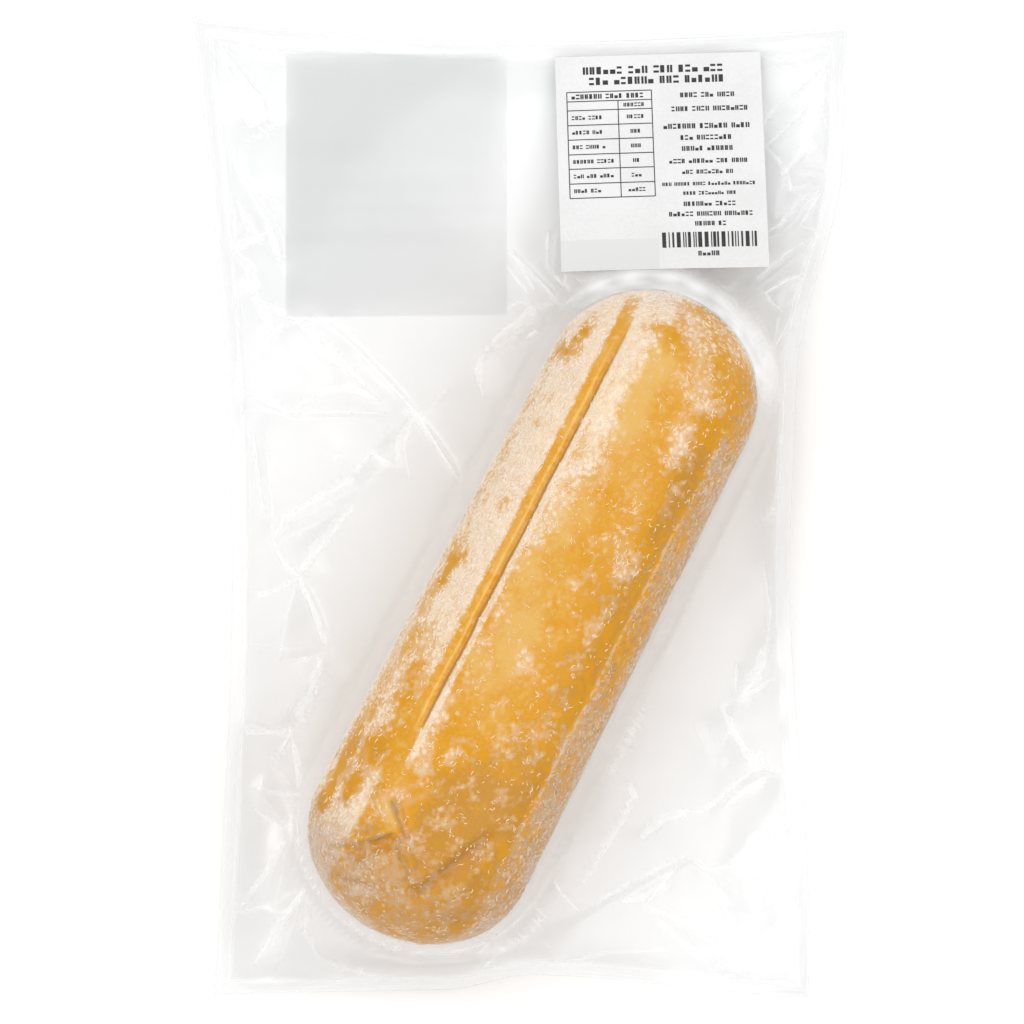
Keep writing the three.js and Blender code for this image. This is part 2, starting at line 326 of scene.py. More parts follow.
# Folds where the lower end was pinched shut: from one point, along and across the log, to another, rise and
# width. A positive rise is a ridge and a negative one a furrow.
FOLDS = (
    ((-66, -17), (-73, -8), 2.0, 3.6),
    ((-73, -8), (-79, 0), 1.5, 2.6),
    ((-79, 0), (-84, 3), 0.9, 2.2),
    ((-73, -9), (-88, -24), 1.4, 3.2),
    ((-76, -7), (-86, -16), -2.2, 3.0),
    ((-66, -12), (-73, -5), -1.4, 2.2),
    ((-64, 17), (-76, 11), -2.2, 4.0),
    ((-76, 11), (-87, 5), -2.0, 3.2),
    ((-68, 20), (-84, 15), 1.1, 3.6),
    ((-93, 14), (-85, 24), -1.4, 4.0),
    ((-92, -6), (-95, -20), -0.9, 2.4),
)


class Log:
    """The log's surface, in millimetres."""

    crown_power = 2.15  # roundness of the upper half; 2 is an ellipse
    keel_power = 2.3
    lump = 0.5  # height of the slow lumps of a hand-shaped log
    swell = 0.35
    lowest = 0.2  # where its underside rests, on the film
    relief_end = 0.9  # share of the way out to the widest line where the relief starts to fade

    def __init__(self, settings):
        self.centre = np.array(settings.centre) / MM
        self.taper = settings.taper
        for name in ("half_width", "cap", "waist", "crown", "keel", "skin"):
            setattr(self, name, getattr(settings, name) / MM)
        self.spine_half = settings.length / MM / 2 - self.cap
        self.along_axis = (math.sin(settings.turn), math.cos(settings.turn))
        self.across_axis = (math.cos(settings.turn), -math.sin(settings.turn))

    def to_log(self, x, y):
        dx = x - self.centre[0]
        dy = y - self.centre[1]
        along = dx * self.along_axis[0] + dy * self.along_axis[1]
        return along, dx * self.across_axis[0] + dy * self.across_axis[1]

    def from_log(self, along, across):
        x = self.centre[0] + along * self.along_axis[0] + across * self.across_axis[0]
        return x, self.centre[1] + along * self.along_axis[1] + across * self.across_axis[1]

    def rays(self, x, y):
        """For each point: the station on the spine nearest to it, its distance and direction from there, and
        the distance of the log's waist in that direction."""
        along, across = self.to_log(x, y)
        station = np.clip(along, -self.spine_half, self.spine_half)
        distance = np.maximum(np.hypot(across, along - station), 1e-6)
        heading = np.array((along - station, across)) / distance
        half_width = self.half_width - self.taper * station
        waist = 1 / np.maximum(np.hypot(heading[1] / half_width, heading[0] / self.cap), 1e-9)
        return station, distance, heading, waist

    def on_ray(self, station, distance, heading):
        return self.from_log(station + distance * heading[0], distance * heading[1])

    def score_depth(self, along, across):
        depth = np.zeros_like(along)
        for s in SCORES:
            off = across - s["across"]
            side = np.where(off < 0, s["left"], s["right"])
            profile = (1 - np.clip(np.abs(off) / side, 0, 1)) ** 1.3
            starts = smoothstep(s["start"], s["start"] + s["fade"], along)
            ends = 1 - smoothstep(s["end"] - s["fade"], s["end"], along)
            depth += s["depth"] * profile * starts * ends
        return depth

    def fold_rise(self, along, across):
        ridge, furrow = np.zeros_like(along), np.zeros_like(along)
        for start, end, peak, width in FOLDS:
            off, _ = line_distance(along, across, start, end)
            rise = peak * (1 - smoothstep(0, width, off))
            ridge, furrow = np.maximum(ridge, rise), np.minimum(furrow, rise)
        return ridge + furrow

    def relief(self, along, across):
        lumps = self.lump * np.sin(along / 13 + 0.6) * np.cos(across / 11)
        lumps += self.swell * np.sin(along / 29 - across / 9)
        return lumps + self.fold_rise(along, across) - self.score_depth(along, across)

    def faded_relief(self, along, across, reach):
        return self.relief(along, across) * (1 - smoothstep(self.relief_end, 1, reach))

    def top(self, along, across, reach):
        """Height of the upper side at a share of the way to the waist."""
        reach = np.clip(reach, 0, 1)
        rise = self.crown * (1 - reach**self.crown_power) ** (1 / self.crown_power)
        return self.waist + rise + self.faded_relief(along, across, reach)

    def belly(self, reach):
        drop = self.keel * (1 - np.clip(reach, 0, 1) ** self.keel_power) ** (1 / self.keel_power)
        return np.maximum(0, self.waist - drop)


# Where the frost lies thicker or thinner than its bands, as soft ovals: middle along and across the log,
# half-length, half-width, and how much frost is added.
FROST_PATCHES = (
    # left flank
    (81, -26.5, 10, 2.0, -0.9), (73, -29, 4, 1.8, -0.8), (59, -26, 2.5, 1.5, -0.5), (51, -26, 3, 1.3, -0.5),
    (26, -23, 3.5, 1.5, -0.6), (1, -29, 8, 1.7, -0.9), (6, -27, 3, 2, -0.5), (-19, -27, 4, 2.5, -0.45),
    (-27, -24, 7, 3.5, -0.4), (-24, -29, 4, 1.5, -0.4), (-48, -20, 15, 4.5, -0.55), (-36, -24, 8, 3, -0.3),
    (-57, -25, 4.5, 2.6, -0.8), (-69, -25, 6, 3.0, -0.8), (-76, -31, 4, 1.4, -0.5), (-62, -31, 9, 2.0, -0.5),
    (96, -19, 5, 3, -0.25), (-76, -26, 7, 4, 0.3), (-83, -24, 4, 6, 0.4),
    # right of the long score
    (87, -10, 12, 4.5, 0.75), (72, -10.5, 14, 3.5, 0.85), (57, -9, 10, 5.5, 0.75), (45, -7, 6, 6, 0.55),
    (33, -11.5, 12, 4, 0.75), (21, -11.5, 5, 3, 0.6), (12, -11, 4, 2.5, 0.4), (-3, -10.5, 4, 2.5, 0.35),
    (-12, -11, 4, 3, 0.3), (-37, -12.5, 6, 3, 0.55), (-46, -13, 5, 3.5, 0.7), (-52, -11, 4, 3, 0.3),
    # upper end
    (99, -14, 7, 7, 0.55), (98, -7, 3.5, 3, 0.5), (95, 4, 5, 5, 0.45), (91, 8, 4, 3, 0.4),
    (96, 15, 3, 4, 0.25), (104, -2, 3, 12, -0.3), (93, -6, 3, 4, -0.5), (90, -10, 2, 3, -0.4),
    # crown and right half
    (86, 8, 4.5, 3.5, 0.6), (84, 14, 3, 4, 0.35), (79, 13, 4.5, 5.5, 0.75), (77, 18, 3, 3, 0.6),
    (81, 5, 2, 3, 0.35), (68, 13, 4, 4, 0.8), (62, 14.5, 4.5, 4, 0.75), (73, 17, 3, 4, -0.5),
    (66, 26, 6, 3, 0.5), (55, 28, 4, 3, 0.5), (50, 19, 5, 2, 0.35), (38, 13, 4, 3, 0.2),
    (31, 12, 5, 5, 0.5), (27, 15, 5, 4, 0.5), (24, 18, 3, 3, 0.4), (14, 4, 2.5, 2.5, 0.4),
    (14, 10, 2, 4, 0.35), (10, 17.5, 6, 2, 0.45), (3, 17, 4, 2, 0.4), (-7, 17, 4, 2.5, 0.3),
    (-13, 1.8, 4.5, 2.6, 0.75), (-8, 0.5, 2.5, 1.5, 0.4), (-26, 1.6, 1.6, 1.1, 0.7), (-33, 6, 3, 3, 0.45),
    (-25, -8, 3, 3, 0.3), (-18, -7, 3, 2, 0.25), (-30, 25, 6, 4, 0.7), (-28, 17, 5, 2, 0.4),
    (-37, 18, 4, 2, 0.35), (-46, -2.6, 3, 3.5, 0.75), (-49, -3.5, 2, 2, 0.5), (-50, 28, 6, 4, 0.6),
    (-52, 5, 4, 3, 0.4), (-56, 21, 3, 2, 0.35), (-66, 29, 7, 4, 0.4), (5, 28, 14, 3, -0.25),
    # pinched lower end
    (-63, -12, 3, 3, 0.6), (-64, 5, 4, 5, 0.5), (-66, 16, 4.5, 3.5, 0.7), (-71, -3, 2.5, 5, 0.3),
    (-74, -2, 3, 5, 0.5), (-80, -8, 4, 5, 0.35), (-86, -12, 6, 8, 0.5), (-86, 2, 6, 6, 0.75),
    (-79, 3, 3, 2, -0.3), (-83, 15, 4, 5, 0.35), (-92, -4, 5, 14, 0.35), (-92, 12, 5, 9, 0.35),
    (-100, 0, 4, 18, 0.35), (-89, 20, 8, 9, 0.35), (-97, -14, 6, 10, 0.3), (-78, -19, 4, 4, 0.4),
    (-70, 6, 2.5, 3, -0.3), (-90, -16, 3, 6, 0.2), (-68, -20, 6, 5, 0.5), (-72, -14, 3, 3, 0.35),
)

# Where the smoked colour is deeper, or paler where the amount is negative, as the same kind of ovals. The
# first oval is a painted highlight.
TONE_PATCHES = (
    (74, -4, 15, 6, -0.8), (58, 0, 10, 8, -0.35), (20, -6, 22, 7, -0.35), (-18, -2, 22, 8, -0.35),
    (-5, -3, 12, 6, -0.3), (62, 19, 14, 4, 0.5), (48, 20, 12, 3, 0.6), (30, 20, 16, 3, 0.3),
    (0, 12, 34, 7, 0.2), (-10, 20, 22, 3.5, 0.25), (-55, 8, 20, 13, 0.75), (-45, -2, 10, 10, 0.2),
    (-68, -2, 6, 8, 0.7), (-76, 1, 5, 7, 0.9), (-76, -3, 3, 3, 0.5), (-84, 14, 7, 7, 0.3),
    (-62, -25, 16, 4, 0.35), (2, -29, 9, 3, 0.3), (80, -27, 12, 3, 0.25), (102, 10, 6, 14, 0.35),
    (90, 2, 6, 6, 0.25), (-70, -12, 4, 5, -0.9), (-74, -3, 3, 6, -0.5), (-84, -20, 5, 3, -0.6),
    (-64, 12, 5, 4, 0.45), (-78, 14, 4, 5, 0.35), (-79, -4, 4, 6, 0.6), (-84, 8, 5, 6, 0.5),
)

# Painted grey-brown shade in the hollows of the folds of the lower end: from one point to another, width and
# darkness.
SHADE_LINES = (
    ((-75, -9), (-80, -14), 1.9, 1.0),
    ((-80, -14), (-87, -23), 1.5, 0.7),
    ((-66, -13), (-69, -9.5), 1.4, 1.0),
    ((-69, -9.5), (-74, -4.5), 0.9, 0.75),
    ((-78, -5), (-81, -2), 1.2, 0.9),
    ((-81, -2), (-84, 1), 0.9, 0.6),
    ((-64, 17), (-72, 12), 2.6, 0.5),
    ((-72, 12), (-81, 8), 2.2, 0.75),
    ((-81, 8), (-87, 5), 1.7, 0.8),
    ((-79, 2), (-88, 0), 1.2, 0.5),
    ((-92, 14), (-85, 24), 3.0, 0.4),
    ((-91, -6), (-95, -20), 1.1, 0.5),
    ((-86, -10), (-90, -24), 0.9, 0.45),
)


def ovals(along, across, patches):
    """Sum of soft ovals."""
    total = np.zeros_like(along)
    for middle_along, middle_across, half_length, half_width, amount in patches:
        off = np.hypot((along - middle_along) / half_length, (across - middle_across) / half_width)
        total += amount * (1 - smoothstep(0.0, 1.7, off))
    return total


def strays(points):
    """How far along and across the patches' borders stray, so that they are ragged."""
    along = 2.2 * noise_at(points, 4.5, 51.0) + 1.2 * noise_at(points, 2.0, 52.0)
    return along, 1.6 * noise_at(points, 3.6, 53.0)


# Where frost and colour change, in millimetres along or across the log: from one place to another.
RAMPS = {
    "flank sets in": (-31.5, -28.0),
    "flank ends": (-20.2, -18.6),
    "flank thickens": (-45, 5),
    "lip thickens": (-60, -35),
    "right sets in": (22.8, 25.5),
    "right thins": (62, 78),
    "frost of the lower end": (-76, -88),
    "frost of the upper end": (88, 100),
    "crown ends": (18, 24),
    "patches thicken": (-80, 0),
    "patches thin": (-8, 0),
    "right deepens with painted shade": (2, 22),
    "low half deepens": (-20, -60),
    "lower end deepens": (-66, -84),
    "right dulls with painted shade": (21, 26),
    "lower end dulls": (-72, -88),
}
LIP_FROST = (-15.1, -14.6, -13.4, -12.4)  # across the log: sets in, full, thins, ends
LIP_END = -56
# The log's pale rim is partly frost and partly painted sheen of the film seen edge-on.
RIM_FROST_AND_SHEEN = (0.86, 1.0)  # shares of the way out to the log's widest line


def ramp(name, x):
    return smoothstep(*RAMPS[name], x)


def frost_at(along, across, reach, stray):
    """Thickness of the frost, 0 to 1: bands along the log, and the patches. Its pale rim is partly painted
    sheen.
    """
    flank = ramp("flank sets in", across + 0.7 * stray[1]) * (1 - ramp("flank ends", across))
    flank *= lerp(0.55, 0.95, ramp("flank thickens", along))
    lip = band(across, *LIP_FROST) * (lerp(0.35, 0.65, ramp("lip thickens", along)) * (along > LIP_END))
    right = 0.34 * ramp("right sets in", across + 0.3 * stray[1]) * (1 - 0.4 * ramp("right thins", along))
    ends = 0.08 * ramp("frost of the lower end", along) + 0.22 * ramp("frost of the upper end", along)
    # Pale rim, stronger on the left: partly frost, partly painted sheen of the film seen edge-on.
    rim = np.where(across < 0, 0.65, 0.2) * smoothstep(*RIM_FROST_AND_SHEEN, reach)
    crown = 0.05 * (1 - ramp("crown ends", np.abs(across)))
    patches = ovals(along + stray[0], across + stray[1], FROST_PATCHES)
    strength = lerp(0.45, 0.8, ramp("patches thicken", along)) * (1 - 0.4 * ramp("patches thin", across))
    patches *= np.where(patches > 0, strength, 1)
    return np.clip(crown + flank + lip + right + ends + rim + patches, 0, 1)


def tone_at(along, across):
    """How deep the colour is, about 0: the smoked colour, deepened down the right side partly by painted
    shade, and the ovals, one of them a painted highlight.
    """
    # Darker down the right side: partly the smoked colour, partly painted shade.
    right = 0.45 * ramp("right deepens with painted shade", across)
    low = 0.2 * ramp("low half deepens", along) + 0.9 * ramp("lower end deepens", along)
    return np.clip(right + low + ovals(along, across, TONE_PATCHES), -1, 1.2)


def dull_and_shade_at(along, across):
    """Where the frost is thin and tan, 0 to 1: down the right side, where the tan is partly painted shade,
    and round the lower end.
    """
    return np.maximum(ramp("right dulls with painted shade", across), 0.8 * ramp("lower end dulls", along))


def shade_at(along, across, stray):
    """How much painted shade darkens the hollows of the folds, 0 to 1. Its lines are ragged and taper at
    both ends.
    """
    shade = np.zeros_like(along)
    for start, end, widest, darkness in SHADE_LINES:
        off, place = line_distance(along + 0.45 * stray[0], across + 0.45 * stray[1], start, end)
        width = widest * (0.35 + 0.65 * np.sin(np.pi * place) ** 0.7)
        shade = np.maximum(shade, 0.8 * darkness * (1 - smoothstep(0.1 * width, 1.1 * width, off)))
    return shade


# --- the cheese log

# Parts of the log's upper side with a finer mesh, as ranges along and across the log.
FINE_PARTS = {
    "long score": ((-52, 98), (-19, -12.6)),
    "folds": ((-92, -62), (-25, 22)),
}
FINE_FROM = 40  # millimetres up
UNDERSIDE_FROST = 0.45
UNDERSIDE_TONE = 0.1
OFF_THE_LOG = -200  # a place along the log that no score reaches


def start_log(settings, log):
    """A sphere with its halves moved apart, turned to the log's direction and remeshed in even steps."""
    deselect_all()
    bpy.ops.mesh.primitive_uv_sphere_add(
        segments=64, ring_count=32, radius=log.cap * MM, rotation=(math.radians(90), 0, 0)
    )
    obj = bpy.context.object
    bpy.ops.object.transform_apply(rotation=True)
    bpy.ops.object.mode_set(mode="EDIT")
    bpy.ops.mesh.select_all(action="DESELECT")
    bm = bmesh.from_edit_mesh(obj.data)
    for vertex in bm.verts:
        vertex.select_set(vertex.co.y > 0.1 * MM)
    bm.select_flush_mode()
    bmesh.update_edit_mesh(obj.data)
    bpy.ops.transform.translate(value=(0, 2 * log.spine_half * MM, 0))
    bpy.ops.mesh.select_all(action="SELECT")
    bpy.ops.transform.translate(value=(0, -log.spine_half * MM, 0))
    bpy.ops.transform.resize(value=(log.half_width / log.cap, 1, log.crown / log.cap))
    bpy.ops.object.mode_set(mode="OBJECT")
    obj.rotation_euler = (0, 0, -settings.turn)
    obj.location = (log.centre[0] * MM, log.centre[1] * MM, log.waist * MM)
    bpy.ops.object.transform_apply(location=True, rotation=True, scale=True)
    remesh = obj.modifiers.new("even steps", "REMESH")
    remesh.mode = "VOXEL"
    remesh.voxel_size = settings.voxel
    bpy.ops.object.modifier_apply(modifier=remesh.name)
    return obj


def log_points(points, log):
    """Moves points near the log onto its surface, a skin's depth inside it."""
    x, y, z = points.T
    station, distance, heading, waist = log.rays(x, y)
    upper = z > log.waist
    power = np.where(upper, log.crown_power, log.keel_power)
    height = np.where(upper, log.crown, log.keel)
    out = distance / waist
    up = (z - log.waist) / height
    scale = (np.abs(out) ** power + np.abs(up) ** power) ** (-1 / power)
    reach = out * scale
    x, y = log.on_ray(station, reach * (waist - log.skin), heading)
    along, across = log.to_log(x, y)
    z = log.waist + up * scale * (height - log.skin)
    z += np.where(upper, log.faded_relief(along, across, reach), 0)
    z = np.maximum(z, log.skin)
    return np.column_stack((x, y, z)), along, across, reach, upper


def refine_details(obj, log):
    """Halves the mesh's steps along the long score and in the folds of the lower end."""

    def detailed(face):
        middle = face.calc_center_median() / MM
        along, across = log.to_log(middle.x, middle.y)
        parts = FINE_PARTS.values()
        fine = any(low < along < high and left < across < right for (low, high), (left, right) in parts)
        return fine and middle.z > FINE_FROM

    subdivide_faces(obj, detailed, 1)


HAIRLINE = (0.2, 0.9)  # half-width at full depth and at none, along the bottom of the long score


def crust_relief(points, along, across, frost, shade):
    """Fine unevenness of the surface: slow dents, rough frost and a hairline along the long score."""
    slow = 0.22 * noise_at(points, 9, 1.0) + 0.1 * noise_at(points, 4, 2.0)
    rough = 0.17 * noise_at(points, 1.3, 3.0) + 0.08 * noise_at(points, 0.8, 4.0)
    long_score = SCORES[0]
    bottom = 1 - smoothstep(*HAIRLINE, np.abs(across - long_score["across"]))
    start, end = long_score["start"], long_score["end"]
    cut = band(along, start, start + 8, end - 6, end)
    return slow + rough * (0.25 + frost + 0.8 * shade) - 0.35 * bottom * cut + 0.12 * frost


def make_cheese_log(settings):
    """The cheese log, with its scores, folds and dents, and what its frost needs stored on its points."""
    log = Log(settings)
    obj = start_log(settings, log)
    refine_details(obj, log)
    points, *_ = log_points(points_of(obj.data), log)
    set_points(obj.data, points)
    normals = normals_of(obj.data)
    placed, along, across, reach, upper = log_points(points, log)
    stray = strays(placed)
    frost = np.where(upper, frost_at(along, across, reach, stray), UNDERSIDE_FROST)
    cloud = 0.25 * noise_at(placed, 7.0, 55.0) + 0.3 * noise_at(placed, 2.4, 54.0)
    frost = np.clip(frost + cloud * np.minimum(0.25 + frost, 0.8), 0, 1)
    # Painted shade in the hollows of the folds, which also roughens them.
    shade = np.where(upper, shade_at(along, across, stray), 0)
    depth = crust_relief(placed, along, across, frost, shade)
    moved = placed + normals * np.minimum(depth, 0.6 * log.skin)[:, None]
    moved[:, 2] = np.maximum(moved[:, 2], log.lowest)
    set_points(obj.data, moved)
    set_attribute(obj.data, "frost", frost)
    mottle = 0.38 * noise_at(placed, 14, 5.0) + 0.25 * noise_at(placed, 6, 6.0)
    set_attribute(obj.data, "tone", np.where(upper, tone_at(along, across), UNDERSIDE_TONE) + mottle)
    set_attribute(obj.data, "shade", shade)
    # Dullness, which down the right side is partly painted shade.
    set_attribute(obj.data, "dull_and_shade", dull_and_shade_at(along, across))
    set_attribute(obj.data, "along", np.where(upper, along, OFF_THE_LOG))
    set_attribute(obj.data, "across", across + 0.35 * noise_at(placed, 12, 7.0))
    smooth_shading(obj)
    return finish_piece(obj, "cheese_log", cheese_material(settings), ("log_in_pouch",))


# --- frost crystals

CRYSTAL_HALF_LENGTH = (0.3, 1.5)
CRYSTAL_WIDTH = (0.11, 0.2)
CRYSTAL_CURL = (0.1, 0.85)  # how far its ends bend aside, as a share of its half-length
CRYSTAL_LIFT = 0.1  # its middle above the log
# The lip along the long score, which has few crystals: middle and half-width across the log, and both ends.
BARE_LIP = {"across": -16.4, "half": 2.5, "start": -50, "end": 95}
LOW_ON_THE_LOG = 22  # few crystals lie below this height


def crystal_places(mesh, log, count, draw):
    """Seeded places on the log, many where its frost is thick: point, normal, frost and dullness of each."""
    mesh.calc_loop_triangles()
    triangles = mesh.loop_triangles
    points = points_of(mesh)
    corners = np.empty(len(triangles) * 3, np.int32)
    triangles.foreach_get("vertices", corners)
    corners = corners.reshape(-1, 3)
    a, b, c = points[corners[:, 0]], points[corners[:, 1]], points[corners[:, 2]]
    cross = np.cross(b - a, c - a)
    area = np.linalg.norm(cross, axis=1)
    middle = (a + b + c) / 3
    _, distance, _, waist = log.rays(middle[:, 0], middle[:, 1])
    along, across = log.to_log(middle[:, 0], middle[:, 1])
    frost = frost_at(along, across, distance / waist, strays(middle))
    clusters = noise_at(middle, 4.5, 11.0) + 0.5 * noise_at(middle, 2.2, 12.0)
    weight = area * (0.07 + frost**1.6) * smoothstep(-0.45, 0.55, clusters + 0.5 * frost)
    weight *= np.where(middle[:, 2] > LOW_ON_THE_LOG, 1, 0.15) * lerp(0.5, 1, smoothstep(-88, -60, along))
    lip = np.abs(across - BARE_LIP["across"]) < BARE_LIP["half"]
    lip &= (along > BARE_LIP["start"]) & (along < BARE_LIP["end"])
    weight *= np.where(lip, 0.05, 1)
    picked = draw.choice(len(area), size=count, p=weight / weight.sum())
    u, v = draw.random((2, count))
    folded = u + v > 1
    u, v = np.where(folded, 1 - u, u)[:, None], np.where(folded, 1 - v, v)[:, None]
    places = a[picked] * (1 - u - v) + b[picked] * u + c[picked] * v
    return places, cross[picked] / area[picked, None], frost[picked], dull_and_shade_at(along, across)[picked]


def make_frost_crystals(settings):
    """Thousands of small bent ice crystals that lie on the log, joined in one mesh. Their points are worked
    out together, because adding each by an operator would take many minutes."""
    log = Log(settings)
    draw = np.random.default_rng(7)
    count = settings.crystals
    mesh = bpy.data.objects["cheese_log"].data
    places, normals, frost, dull_and_shade = crystal_places(mesh, log, count, draw)
    aside = draw.normal(size=(count, 3))
    heading = np.cross(normals, aside)
    heading /= np.linalg.norm(heading, axis=1)[:, None]
    beside = np.cross(normals, heading)
    length = draw.gamma(5, 0.13, count).clip(*CRYSTAL_HALF_LENGTH)[:, None]
    width = draw.uniform(*CRYSTAL_WIDTH, count)[:, None]
    curl = draw.uniform(*CRYSTAL_CURL, count)[:, None] * length
    twist = draw.choice((1.0, 1.0, -0.6), count)[:, None]
    centre = places + normals * CRYSTAL_LIFT
    first = centre - heading * length * 0.4 + beside * curl * 0.25
    second = centre + heading * length * 0.4 + beside * curl * 0.25 * twist
    low_side = beside * width * 0.9 - normals * width * 0.5
    rings = (
        centre - heading * length - beside * curl,
        first + normals * width, first + low_side, first - beside * width * 1.8 + low_side,
        second + normals * width, second + low_side, second - beside * width * 1.8 + low_side,
        centre + heading * length - beside * curl * twist,
    )
    points = np.stack(rings, axis=1).reshape(-1, 3)
    points[:, 2] = np.maximum(points[:, 2], 0.1)
    sides = (
        (0, 1, 3), (0, 3, 2), (0, 2, 1), (1, 4, 6), (1, 6, 3), (3, 6, 5), (3, 5, 2), (2, 5, 4), (2, 4, 1),
        (7, 6, 4), (7, 5, 6), (7, 4, 5),
    )
    faces = (np.arange(count)[:, None, None] * 8 + np.array(sides)[None]).reshape(-1, 3)
    made = bpy.data.meshes.new("frost_crystals")
    made.from_pydata((points * MM).tolist(), [], faces.tolist())
    set_attribute(made, "frost", np.repeat(frost, 8))
    set_attribute(made, "dull_and_shade", np.repeat(dull_and_shade * draw.uniform(0.4, 1, count), 8))
    obj = bpy.data.objects.new("frost_crystals", made)
    bpy.context.collection.objects.link(obj)
    return finish_piece(obj, "frost_crystals", crystal_material(settings))


# --- the pouch's form

